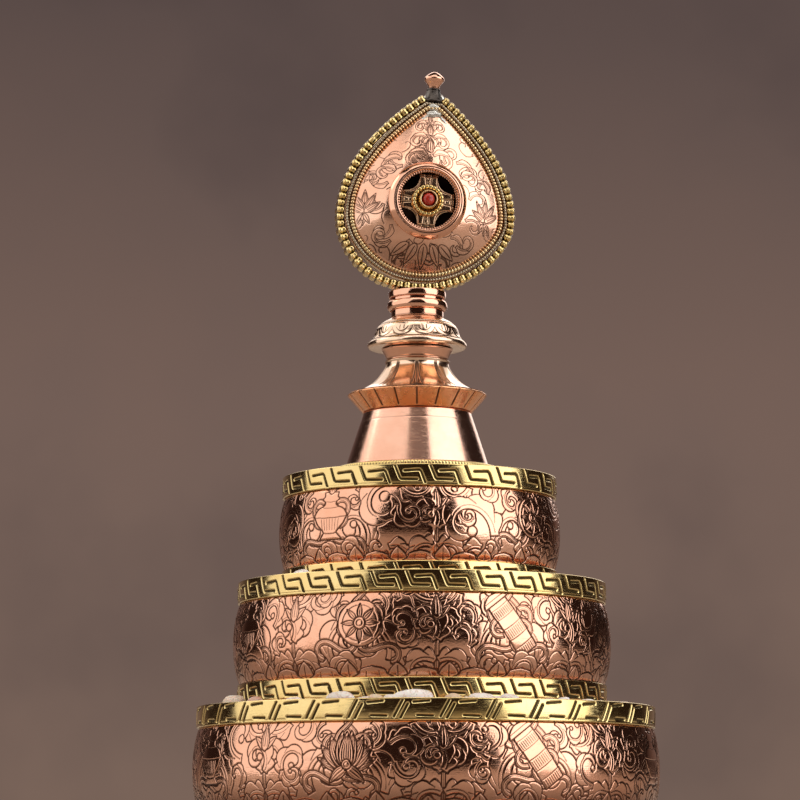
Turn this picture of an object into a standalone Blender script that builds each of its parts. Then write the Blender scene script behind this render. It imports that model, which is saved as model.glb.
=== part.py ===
"""Mandala offering set: a copper base pan, three copper hoops with brass key bands,
the beds of pebbles that fill them, and a top ornament with a teardrop jewel.

Metres, +Z up. The origin is the centre of the base's foot, on the surface it stands on.
Blender 4.5: blender --background --python part.py
"""

import math

import bpy
from mathutils import Matrix

MM = 0.001
GAP = 0.3                     # clearance between soldered or resting pieces, mm

# ---- driving dimensions, in mm -------------------------------------------------------
RING_STEPS = 36               # facets round a hoop
TURN_STEPS = 24               # facets round a pedestal part
SHEET = 1.0                   # copper sheet thickness
BAND_T = 1.1                  # brass band thickness
BAND_H = 7.5                  # brass band height

BASE_H = 40.0
BASE_EDGE_R = 96.6            # copper wall under the bands
BASE_BULGE_R = 100.0

# name, edge radius, bulge radius, bottom, rim, centre offset in x (hand-stacked)
TIERS = (
    ("large_ring", 79.9, 82.7, BASE_H + GAP, 84.5, 2.0),
    ("middle_ring", 64.3, 67.3, 84.7, 128.4, 0.6),
    ("small_ring", 47.7, 50.3, 125.3, 166.2, -0.2),
)
FINIAL_X = -1.0               # the ornament's own offset

JEWEL_PIVOT_Z = 217.5         # the plug leans in its socket about this height
JEWEL_LEAN = 3.8              # degrees, towards +X
JEWEL_TURN = 8.0              # degrees about the vertical
JEWEL_HALF_W = 33.0           # half width over the bead wire
JEWEL_MID = 44.5              # height of the widest point over the pivot
JEWEL_BELOW = 27.4            # from the widest point to the bottom
JEWEL_ABOVE = 49.0            # from the widest point to the apex
DOME_RISE = 9.5
MEDAL_UP = 48.5               # medallion centre over the pivot
MEDAL_X = -1.2                # and sideways: it is soldered on a little off centre
APEX_CUT = 87.0               # the shells' apex is cut off under the tip's ferrule
PINCH = 1.0                   # how much narrower the lower half is than an ellipse
SKEW = 0.075                  # how far the bottom is bent to the left, per mm below the widest point
STAND_OFF = 1.1               # how far the gallery strip is sprung off at the lower left
MEDAL_R = 14.2
WINDOW_R = 10.3
FLANGE = 2.3                  # face of the shell's flange from the mid plane

COPPER = (0.80, 0.42, 0.30)
DARK_COPPER = (0.55, 0.27, 0.18)
BRASS = (0.83, 0.66, 0.30)
SILVERED = (0.45, 0.42, 0.38)
CORAL = (0.62, 0.06, 0.03)
PEBBLE = (0.72, 0.68, 0.62)

# ---- scene ---------------------------------------------------------------------------
for o in list(bpy.data.objects):
    bpy.data.objects.remove(o, do_unlink=True)
parts = bpy.data.collections.new("mandala_offering_set")
bpy.context.scene.collection.children.link(parts)

_materials = {}


def material(name, colour, rough, metallic):
    if name not in _materials:
        m = bpy.data.materials.new(name)
        m.use_nodes = True
        b = m.node_tree.nodes["Principled BSDF"]
        b.inputs["Base Color"].default_value = (*colour, 1.0)
        b.inputs["Roughness"].default_value = rough
        b.inputs["Metallic"].default_value = metallic
        m.diffuse_color = (*colour, 1.0)
        _materials[name] = m
    return _materials[name]


def copper():
    return material("copper", COPPER, 0.22, 1.0)


def brass():
    return material("brass", BRASS, 0.2, 1.0)


def dark_copper():
    return material("dark_copper", DARK_COPPER, 0.35, 1.0)


def silvered():
    return material("silvered_metal", SILVERED, 0.3, 1.0)


def coral():
    return material("coral", CORAL, 0.15, 0.0)


def pebble():
    return material("pebbles", PEBBLE, 0.6, 0.0)


def add(name, data, mat, parent=None):
    o = bpy.data.objects.new(name, data)
    parts.objects.link(o)
    data.materials.append(mat)
    if parent is not None:
        o.parent = parent
    return o


def empty(name, matrix, parent=None):
    o = bpy.data.objects.new(name, None)
    parts.objects.link(o)
    o.parent = parent
    o.matrix_local = matrix
    return o


# ---- shape helpers -------------------------------------------------------------------
def turned(name, profile, mat, steps=TURN_STEPS, closed=True, parent=None, x=0.0):
    """Turns a profile of (radius, height) in mm about Z. It runs down the outer side.
    A profile that isn't closed has both its ends on the axis."""
    me = bpy.data.meshes.new(name)
    n = len(profile)
    edges = [(i, i + 1) for i in range(n - 1)] + ([(n - 1, 0)] if closed else [])
    me.from_pydata([(r * MM, 0.0, z * MM) for r, z in profile], edges, [])
    o = add(name, me, mat, parent)
    o.location.x = x * MM
    s = o.modifiers.new("turn", "SCREW")
    s.axis = "Z"
    s.angle = 2 * math.pi
    s.steps = s.render_steps = steps
    s.use_merge_vertices = True
    s.merge_threshold = 0.00001
    s.use_smooth_shade = True
    s.use_normal_calculate = False
    return o


def wire(name, points, radius, mat, parent=None, resolution=1):
    """A closed round wire of this radius in mm along points in mm."""
    cu = bpy.data.curves.new(name, "CURVE")
    cu.dimensions = "3D"
    cu.bevel_depth = radius * MM
    cu.bevel_resolution = resolution
    cu.use_fill_caps = True
    sp = cu.splines.new("POLY")
    sp.points.add(len(points) - 1)
    for p, co in zip(sp.points, points):
        p.co = (*(c * MM for c in co), 1.0)
    sp.use_cyclic_u = True
    return add(name, cu, mat, parent)


def plate(name, outlines, half, mat, parent=None, z=0.0):
    """A flat plate: 2D outlines in mm, filled between, extruded half each way."""
    cu = bpy.data.curves.new(name, "CURVE")
    cu.dimensions = "2D"
    cu.fill_mode = "BOTH"
    cu.extrude = half * MM
    for outline in outlines:
        sp = cu.splines.new("POLY")
        sp.points.add(len(outline) - 1)
        for p, (x, y) in zip(sp.points, outline):
            p.co = (x * MM, y * MM, 0.0, 1.0)
        sp.use_cyclic_u = True
    o = add(name, cu, mat, parent)
    o.location.z = z * MM
    return o


# ---- base pan ------------------------------------------------------------------------
def barrel(edge_r, bulge_r, low, high, count=3):
    """Points of a bulged wall strictly between its two edges, from the top down."""
    out = []
    for i in range(1, count + 1):
        t = i / (count + 1)
        out.append((edge_r + (bulge_r - edge_r) * math.sin(math.pi * t) ** 0.6,
                    high + (low - high) * t))
    return out


def inward(points, t):
    return [(r - t, z) for r, z in reversed(points)]


side = [(BASE_EDGE_R, BASE_H - 1.6), (BASE_EDGE_R, BASE_H - 1.6 - BAND_H)]
side += barrel(BASE_EDGE_R, BASE_BULGE_R, 0.6 + BAND_H, BASE_H - 1.6 - BAND_H)
side += [(BASE_EDGE_R, 0.6 + BAND_H), (BASE_EDGE_R, 0.0)]
inner = inward(side[:-1], SHEET)
turned(
    "base_pan",
    [(0.0, BASE_H), (BASE_EDGE_R - 1.8, BASE_H)] + side
    + [(BASE_EDGE_R - 7.0, 0.0), (BASE_EDGE_R - 7.0, SHEET), (BASE_EDGE_R - SHEET, SHEET)]
    + inner + [(BASE_EDGE_R - 2.6, BASE_H - SHEET), (0.0, BASE_H - SHEET)],
    copper(), RING_STEPS, closed=False,
)


def band(name, wall_r, low, x=0.0):
    r0 = wall_r + GAP
    return turned(
        name,
        [(r0, low + BAND_H), (r0 + BAND_T, low + BAND_H), (r0 + BAND_T, low), (r0, low)],
        brass(), RING_STEPS, x=x,
    )


band("base_upper_band", BASE_EDGE_R, BASE_H - 1.6 - BAND_H)
band("base_lower_band", BASE_EDGE_R, 0.6)

# ---- the three hoops and the pebble beds they hold ---------------------------------------
floor_z = BASE_H
for k, (name, edge_r, bulge_r, low, rim, x) in enumerate(TIERS):
    wall = [(edge_r, rim), (edge_r, rim - BAND_H)]
    wall += barrel(edge_r, bulge_r, low + BAND_H, rim - BAND_H)
    wall += [(edge_r, low + BAND_H), (edge_r, low)]
    turned(name + "_wall", wall + inward(wall, SHEET), copper(), RING_STEPS, x=x)
    band(name + "_upper_band", edge_r, rim - BAND_H, x)
    band(name + "_lower_band", edge_r, low, x)
    # the next tier stands on this bed
    top = (TIERS[k + 1][3] if k < 2 else rim + 0.1) - GAP
    fill_r = edge_r - SHEET - 0.6
    turned(
        "pebble_bed_" + name.split("_")[0],
        [(0.0, top), (fill_r, top), (fill_r, floor_z + GAP), (0.0, floor_z + GAP)],
        pebble(), RING_STEPS, closed=False, x=x,
    )
    floor_z = top

# ---- pedestal of the top ornament -----------------------------------------------------
FOOT = TIERS[2][4] + 0.1
turned("foot_cone",
       [(19.4, 190.2), (27.2, FOOT), (26.0, FOOT), (18.2, 190.2)],
       copper(), x=FINIAL_X)
turned("foot_bead_wire",
       [(28.6, FOOT + 3.0), (29.7, FOOT + 2.5), (30.1, FOOT + 1.4), (29.4, FOOT + 0.1),
        (27.9, FOOT + 0.1), (27.5, FOOT + 1.2), (27.7, FOOT + 2.6)],
       brass(), x=FINIAL_X)
turned("lotus_skirt",
       [(24.4, 196.9), (24.8, 196.4), (19.7, 190.5), (18.4, 190.5), (23.4, 196.9)],
       copper(), x=FINIAL_X)
waist = [(11.7, 209.0), (11.3, 207.8), (12.1, 205.6), (14.4, 202.7), (18.2, 199.6), (24.3, 197.2)]
turned("lotus_waist",
       waist + [(22.2, 197.2), (17.0, 199.0), (13.4, 201.8), (11.1, 205.0), (10.3, 207.8), (10.5, 209.0)],
       copper(), x=FINIAL_X)
turned("waist_cup",
       [(12.9, 213.2), (10.9, 209.3), (9.6, 209.3), (11.4, 213.2)],
       copper(), x=FINIAL_X)
turned("upper_lotus",
       [(9.8, 224.6), (12.9, 222.8), (14.6, 221.0), (15.4, 218.8), (17.2, 216.4), (17.9, 214.9),
        (17.5, 213.8), (12.9, 213.5), (12.0, 214.3), (16.0, 215.4), (14.2, 218.6), (12.6, 221.3),
        (8.8, 223.4), (8.8, 224.6)],
       copper(), x=FINIAL_X)
turned("neck_tube",
       [(9.5, 234.5), (9.5, 224.9), (8.4, 224.9), (8.4, 234.5)],
       copper(), x=FINIAL_X)
turned("neck_bead",
       [(9.8, 231.0), (10.5, 230.7), (10.9, 229.3), (10.5, 227.8), (9.8, 227.4)],
       copper(), x=FINIAL_X)
turned("neck_collar",
       [(9.8, 234.6), (10.3, 234.6), (10.4, 232.2), (9.8, 232.0)],
       copper(), x=FINIAL_X)

# ---- teardrop jewel ----------------------------------------------------------------------
# The outline is half an ellipse below the widest point and a parabola above it.
pivot = empty("jewel_pivot",
              Matrix.Translation((FINIAL_X * MM, 0, JEWEL_PIVOT_Z * MM))
              @ Matrix.Rotation(math.radians(JEWEL_LEAN), 4, "Y")
              @ Matrix.Rotation(math.radians(JEWEL_TURN), 4, "Z"))
front = empty("jewel_front", Matrix.Rotation(math.radians(90), 4, "X"), pivot)
back = empty("jewel_back", Matrix.Rotation(math.radians(180), 4, "Y"), front)


def teardrop(inset, n=320):
    """The outline moved inwards by inset, anticlockwise from the bottom to the apex and back down."""
    half = []
    for i in range(n // 2 + 1):
        t = 2 * i / n
        if t < 0.5:
            a = -math.pi / 2 + math.pi * t
            x, y = JEWEL_HALF_W * math.cos(a), JEWEL_BELOW * math.sin(a)
            x -= PINCH * math.sin(2 * a) ** 2
        else:
            y = JEWEL_ABOVE * (2 * t - 1)
            x = JEWEL_HALF_W * (1 - (y / JEWEL_ABOVE) ** 2)
        half.append((x, y))
    whole = half + [(-x, y) for x, y in reversed(half[1:-1])]
    whole = [(x + SKEW * y * y / (3.0 - y) * -1.0 if y < 0 else x, y) for x, y in whole]
    apex = n // 2
    out = []
    for i, (x, y) in enumerate(whole):
        (x0, y0), (x1, y1) = whole[i - 1], whole[(i + 1) % len(whole)]
        if i == apex:
            d = math.hypot(*[whole[i - 1][0] - x, whole[i - 1][1] - y])
            out.append((x, y - inset * d / abs(x1 - x)))
            continue
        tx, ty = x1 - x0, y1 - y0
        d = math.hypot(tx, ty)
        out.append((x - inset * ty / d, y + inset * tx / d))
    # past the inner apex the two sides cross, so they stop at the middle
    out = [(max(0.0, x) if 0 < i < apex and y > 0 else min(0.0, x) if i > apex and y > 0 else x, min(y, out[apex][1]) if y > 0 else y)
           for i, (x, y) in enumerate(out)]
    return [(x, JEWEL_MID + y) for x, y in out]


def outline(inset, n, flip=1.0, stand_off=0.0):
    """The whole outline as n points, one at each equal angle round a point MEDAL_UP over the pivot.
    flip of -1 mirrors it, for the pieces of the back face."""
    whole = teardrop(inset)
    out = []
    for i in range(n):
        a = 2 * math.pi * i / n
        dx, dy = math.cos(a) * flip, math.sin(a)
        best = None
        for (x0, y0), (x1, y1) in zip(whole, whole[1:] + whole[:1]):
            ex, ey = x1 - x0, y1 - y0
            det = ex * dy - ey * dx
            if abs(det) < 1e-12:
                continue
            px, py = -x0, MEDAL_UP - y0
            s = (px * dy - py * dx) / det
            r = (px * ey - py * ex) / det
            if -1e-9 <= s <= 1 + 1e-9 and r > 0 and (best is None or r > best):
                best = r
        if stand_off:
            best += stand_off * math.exp(-((math.degrees(a) - 232) / 24) ** 2)
        y = MEDAL_UP + dy * best
        if inset > 3:
            y = min(y, APEX_CUT + 3.3 - inset)
        out.append((flip * dx * best, y))
    return out


N = 36
SEAT_R = WINDOW_R + 0.3


def shell(name, parent, flip=1.0):
    """Domed copper shell: a flat flange, then a loft from the teardrop to the round window."""
    edge = outline(7.0, N, flip)
    sections = [(outline(3.3, N, flip), FLANGE), (edge, FLANGE)]
    for s in (0.3, 0.62, 1.0):
        ring = []
        for i, (x, y) in enumerate(edge):
            a = 2 * math.pi * i / N
            cx, cy = flip * MEDAL_X + SEAT_R * math.cos(a), MEDAL_UP + SEAT_R * math.sin(a)
            ring.append((x + (cx - x) * s, y + (cy - y) * s))
        sections.append((ring, FLANGE + DOME_RISE * math.sin(math.pi / 2 * s) ** 0.9))
    verts = [(x * MM, y * MM, z * MM) for ring, z in sections for x, y in ring]
    faces = []
    for k in range(len(sections) - 1):
        for i in range(N):
            j = (i + 1) % N
            faces.append((k * N + i, k * N + j, (k + 1) * N + j, (k + 1) * N + i))
    me = bpy.data.meshes.new(name)
    me.from_pydata(verts, [], faces)
    o = add(name, me, copper(), parent)
    m = o.modifiers.new("sheet", "SOLIDIFY")
    m.thickness = 0.8 * MM
    m.offset = -1.0
    return o


shell("jewel_front_shell", front)
shell("jewel_back_shell", back, -1.0)
plate("jewel_rim_core", [outline(3.3, N), outline(6.4, N)], 1.1, brass(), front)


def gallery(name, section, gap_x, mat, parent, n=72):
    """Lofted strip round the outline, sprung off it at the lower left and open at the apex by
    this half width. Its section is points of (inset, z) in mm, from the back round the front."""
    rings = [[(x, y, z) for x, y in outline(inset, n, stand_off=STAND_OFF)] for inset, z in section]
    order = [(n // 4 + k) % n for k in range(n)]
    order = [i for i in order if abs(rings[0][i][0]) > gap_x or rings[0][i][1] < MEDAL_UP]
    m, count = len(section), len(order)
    verts = [tuple(c * MM for c in rings[k][i]) for i in order for k in range(m)]
    faces = [(a * m + k, (a + 1) * m + k, (a + 1) * m + (k + 1) % m, a * m + (k + 1) % m)
             for a in range(count - 1) for k in range(m)]
    faces.append(tuple(range(m)))
    faces.append(tuple((count - 1) * m + k for k in reversed(range(m))))
    me = bpy.data.meshes.new(name)
    me.from_pydata(verts, [], faces)
    for p in me.polygons:
        p.use_smooth = len(p.vertices) == 4
    return add(name, me, mat, parent)


# The beaded gallery strip round the edge is open at the apex, where the tip's ferrule stands.
gallery("jewel_gallery_strip",
        [(1.4, -4.2), (0.3, -3.4), (0.0, -1.8), (0.2, 0.6), (0.3, 2.7), (1.4, 3.6),
         (2.7, 3.1), (3.0, 1.6), (3.0, -1.8), (2.7, -3.6)],
        4.4, brass(), front)
for side_name, parent, flip in (("front", front, 1.0), ("back", back, -1.0)):
    for kind, inset, radius, mat, resolution in (("plain", 3.95, 0.55, silvered, 0),
                                                 ("milled", 5.65, 0.85, brass, 1)):
        wire(f"jewel_{kind}_wire_{side_name}",
             [(x, y, FLANGE + GAP + radius) for x, y in outline(inset, N, flip)],
             radius, mat(), parent, resolution)

# ---- pierced medallion, the same on both faces -----------------------------------------------
SEAT = FLANGE + DOME_RISE


def star(points_per_side=7):
    """Four arms with hollow sides: the outline of a square drawn in between its corners."""
    out = []
    tip, waist_r, half_tip = 9.5, 5.9, 2.8
    for k in range(4):
        a0 = math.pi / 2 * k
        out.append((tip * math.cos(a0) + half_tip * math.sin(a0), tip * math.sin(a0) - half_tip * math.cos(a0)))
        out.append((tip * math.cos(a0) - half_tip * math.sin(a0), tip * math.sin(a0) + half_tip * math.cos(a0)))
        ax, ay = out[-1]
        a1 = a0 + math.pi / 2
        bx, by = tip * math.cos(a1) + half_tip * math.sin(a1), tip * math.sin(a1) - half_tip * math.cos(a1)
        cx, cy = waist_r * math.cos(a0 + math.pi / 4), waist_r * math.sin(a0 + math.pi / 4)
        cx, cy = 2 * cx - (ax + bx) / 2, 2 * cy - (ay + by) / 2
        for i in range(1, points_per_side):
            t = i / points_per_side
            out.append(((1 - t) ** 2 * ax + 2 * t * (1 - t) * cx + t * t * bx,
                        (1 - t) ** 2 * ay + 2 * t * (1 - t) * cy + t * t * by))
    return out


for side_name, parent, flip in (("front", front, 1.0), ("back", back, -1.0)):
    centre = empty(f"medallion_{side_name}",
                   Matrix.Translation((flip * MEDAL_X * MM, MEDAL_UP * MM, SEAT * MM)), parent)
    turned(f"medallion_bezel_{side_name}",
           [(10.2, 2.4), (11.2, 3.0), (12.6, 2.7), (13.6, 1.2), (MEDAL_R, 0.3), (10.2, 0.3)],
           copper(), parent=centre)
    plate(f"medallion_star_{side_name}", [star()], 0.5, brass(), centre, z=-0.2)
    turned(f"medallion_bead_ring_{side_name}",
           [(4.7, 2.4), (5.5, 2.1), (5.8, 1.2), (5.4, 0.6), (4.4, 0.6), (4.2, 1.8)],
           brass(), 20, parent=centre)
    turned(f"coral_cup_{side_name}",
           [(2.7, 4.2), (3.2, 4.2), (3.9, 0.6), (2.7, 0.6)],
           brass(), 20, parent=centre)
    turned(f"coral_{side_name}",
           [(0.0, 5.0), (1.3, 4.7), (2.1, 3.9), (2.4, 0.6), (0.0, 0.6)],
           coral(), 16, closed=False, parent=centre)

# ---- plug under the jewel, and the tip on its apex --------------------------------------------
BOTTOM = JEWEL_MID - JEWEL_BELOW
turned("jewel_plug",
       [(0.0, BOTTOM - GAP), (6.3, BOTTOM - GAP), (6.0, 5.4), (0.0, 5.4)],
       dark_copper(), closed=False, parent=pivot)
turned("tip_ferrule",
       [(0.0, 92.6), (2.4, 92.6), (2.6, 91.2), (3.2, 89.4), (4.1, 87.9), (3.9, 87.4), (0.0, 87.4)],
       silvered(), 16, closed=False, parent=pivot)
turned("tip_knob",
       [(0.0, 99.2), (1.6, 98.3), (3.7, 96.4), (3.9, 95.6), (3.2, 94.2), (2.3, 92.9), (0.0, 92.9)],
       copper(), 16, closed=False, parent=pivot)
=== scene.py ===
"""Looks of the mandala offering set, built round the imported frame.

All sizes in this file are millimetres in the row frame unless a name ends in _m;
meshes are scaled to metres when they are made.
"""
import math

import bpy
import numpy as np
from mathutils import Matrix, Vector


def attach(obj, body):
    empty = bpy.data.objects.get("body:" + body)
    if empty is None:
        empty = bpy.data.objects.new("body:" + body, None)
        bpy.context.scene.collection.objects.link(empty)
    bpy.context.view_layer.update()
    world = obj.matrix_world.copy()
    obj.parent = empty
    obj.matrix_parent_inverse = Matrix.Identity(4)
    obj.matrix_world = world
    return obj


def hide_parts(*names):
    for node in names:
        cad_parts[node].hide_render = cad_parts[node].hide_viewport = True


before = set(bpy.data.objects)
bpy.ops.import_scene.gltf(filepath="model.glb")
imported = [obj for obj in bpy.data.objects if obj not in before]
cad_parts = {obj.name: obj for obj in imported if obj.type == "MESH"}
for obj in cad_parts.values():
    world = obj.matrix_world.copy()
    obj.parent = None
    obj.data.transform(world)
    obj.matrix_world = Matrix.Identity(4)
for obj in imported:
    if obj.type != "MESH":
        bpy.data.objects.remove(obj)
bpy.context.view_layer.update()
MM = 0.001
RNG = np.random.default_rng(20)
TAU = 2 * math.pi


# =====================================================================================
# node helpers
# =====================================================================================
def srgb(r, g, b):
    """Display colour (0-255) to linear."""
    out = []
    for c in (r, g, b):
        c /= 255
        out.append(c / 12.92 if c <= 0.04045 else ((c + 0.055) / 1.055) ** 2.4)
    return (*out, 1.0)


class Mat:
    """Small wrapper for building a node material."""

    def __init__(self, name):
        self.m = bpy.data.materials.new(name)
        self.m.use_nodes = True
        self.t = self.m.node_tree
        self.b = self.t.nodes["Principled BSDF"]
        self.out = self.t.nodes["Material Output"]
        self.coord = None

    def set(self, **kw):
        for k, v in kw.items():
            self.b.inputs[k.replace("_", " ")].default_value = v
        return self

    def node(self, kind, **props):
        n = self.t.nodes.new(kind)
        for k, v in props.items():
            setattr(n, k, v)
        return n

    def link(self, a, b):
        self.t.links.new(a, b)
        return self

    def pos(self):
        if self.coord is None:
            self.coord = self.node("ShaderNodeTexCoord")
        return self.coord.outputs["Object"]

    def scaled(self, sx, sy, sz, vec=None):
        n = self.node("ShaderNodeVectorMath", operation="MULTIPLY")
        self.link(vec or self.pos(), n.inputs[0])
        n.inputs[1].default_value = (sx, sy, sz)
        return n.outputs[0]

    def noise(self, scale, detail=2.0, rough=0.5, vec=None, dist=0.0):
        n = self.node("ShaderNodeTexNoise")
        n.inputs["Scale"].default_value = scale
        n.inputs["Detail"].default_value = detail
        n.inputs["Roughness"].default_value = rough
        n.inputs["Distortion"].default_value = dist
        self.link(vec or self.pos(), n.inputs["Vector"])
        return n.outputs["Fac"]

    def ramp(self, fac, stops, interp="LINEAR"):
        n = self.node("ShaderNodeValToRGB")
        n.color_ramp.interpolation = interp
        while len(n.color_ramp.elements) < len(stops):
            n.color_ramp.elements.new(0.5)
        for e, (p, c) in zip(n.color_ramp.elements, stops):
            e.position = p
            e.color = c if hasattr(c, "__len__") else (c, c, c, 1)
        self.link(fac, n.inputs[0])
        return n.outputs[0]

    def mix(self, fac, a, b, blend="MIX"):
        n = self.node("ShaderNodeMix", data_type="RGBA", blend_type=blend)
        n.clamp_factor = True
        for sock, v in ((n.inputs[0], fac), (n.inputs[6], a), (n.inputs[7], b)):
            if hasattr(v, "links"):
                self.link(v, sock)
            else:
                sock.default_value = v
        return n.outputs[2]

    def math(self, op, a, b=0.0, c=None, clamp=False):
        n = self.node("ShaderNodeMath", operation=op, use_clamp=clamp)
        for i, v in enumerate((a, b) if c is None else (a, b, c)):
            if hasattr(v, "links"):
                self.link(v, n.inputs[i])
            else:
                n.inputs[i].default_value = v
        return n.outputs[0]

    def attr(self, name):
        n = self.node("ShaderNodeAttribute", attribute_name=name)
        return n

    def bump(self, height, strength, distance, normal=None):
        n = self.node("ShaderNodeBump")
        n.inputs["Strength"].default_value = strength
        n.inputs["Distance"].default_value = distance
        self.link(height, n.inputs["Height"])
        if normal is not None:
            self.link(normal, n.inputs["Normal"])
        return n.outputs[0]


# =====================================================================================
# materials
# =====================================================================================
def metal(name, bright, shade, ink, rough, rough_ink, scratch=0.0, brush=None, tone=0.25):
    """Polished sheet: attribute ink darkens what lies in the chased lines, tone varies the tint."""
    m = Mat(name)
    m.set(Metallic=1.0)
    cloud = m.noise(55, 4, 0.6)
    fine = m.noise(420, 3, 0.6)
    base = m.mix(m.ramp(cloud, [(0.35, 0.0), (0.68, 1.0)]), bright, shade)
    spots = m.ramp(m.noise(150, 5, 0.72), [(0.60, 0.0), (0.78, tone)])
    base = m.mix(spots, base, ink)
    a = m.attr("ink").outputs["Fac"]
    base = m.mix(m.ramp(a, [(0.05, 0.0), (0.72, 0.93)]), base, ink)
    m.link(base, m.b.inputs["Base Color"])
    r = m.math("MULTIPLY_ADD", m.ramp(cloud, [(0.3, 0.0), (0.7, 1.0)]), rough * 0.45, rough * 0.8)
    r = m.math("ADD", r, m.math("MULTIPLY", m.ramp(fine, [(0.45, 0.0), (0.75, 1.0)]), rough * 0.35))
    r = m.math("ADD", r, m.math("MULTIPLY", a, rough_ink), clamp=True)
    m.link(r, m.b.inputs["Roughness"])
    h = m.noise(900, 3, 0.6)
    if brush is not None:
        h = m.math("ADD", m.math("MULTIPLY", h, 0.4),
                   m.noise(1.0, 3, 0.7, m.scaled(*brush)))
    nrm = m.bump(h, 0.10 + scratch, 0.00005)
    lines = m.noise(1.0, 2, 0.5, m.scaled(260, 260, 5200), 0.3)
    nrm = m.bump(m.ramp(lines, [(0.60, 0.0), (0.66, 1.0)]), 0.10 + scratch, 0.00005, nrm)
    m.link(nrm, m.b.inputs["Normal"])
    return m.m


COPPER = metal("copper_polished", (0.94, 0.54, 0.38, 1), (0.87, 0.44, 0.285, 1), (0.060, 0.018, 0.009, 1), 0.105, 0.22)
COPPER_LIGHT = metal("copper_light", (0.97, 0.61, 0.45, 1), (0.92, 0.50, 0.34, 1), (0.040, 0.014, 0.008, 1), 0.14, 0.30)
COPPER_PALE = metal("copper_pale", (0.99, 0.73, 0.54, 1), (0.96, 0.65, 0.46, 1), (0.040, 0.014, 0.008, 1), 0.15, 0.30)
COPPER_MATT = metal("copper_matt", (1.0, 0.50, 0.26, 1), (0.98, 0.44, 0.21, 1), (0.030, 0.011, 0.006, 1), 0.24, 0.30)
COPPER_SPUN = metal("copper_spun", (0.92, 0.56, 0.42, 1), (0.85, 0.47, 0.33, 1), (0.06, 0.022, 0.012, 1), 0.15, 0.3,
                    0.05, (60, 60, 4200), 0.1)
COPPER_DARK = metal("copper_dark", (0.62, 0.30, 0.19, 1), (0.42, 0.19, 0.11, 1), (0.04, 0.016, 0.010, 1), 0.30, 0.3)
BRASS = metal("brass_polished", (0.90, 0.70, 0.33, 1), (0.82, 0.60, 0.24, 1), (0.030, 0.018, 0.006, 1), 0.13, 0.35)
BRASS_AGED = metal("brass_aged", (0.95, 0.74, 0.40, 1), (0.86, 0.52, 0.26, 1), (0.045, 0.020, 0.008, 1), 0.15, 0.30,
                   0.0, None, 0.5)
GILT_COPPER = metal("gilt_copper", (0.88, 0.62, 0.40, 1), (0.62, 0.37, 0.22, 1), (0.030, 0.013, 0.008, 1), 0.16, 0.3,
                    0.0, None, 0.6)
SILVERED = metal("silvered", (0.70, 0.58, 0.42, 1), (0.40, 0.30, 0.19, 1), (0.03, 0.025, 0.02, 1), 0.24, 0.3, 0.0, None, 0.6)
IRON = metal("dark_ferrule", (0.10, 0.085, 0.075, 1), (0.05, 0.04, 0.035, 1), (0.01, 0.008, 0.006, 1), 0.28, 0.2, 0.0, None, 0.5)


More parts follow.
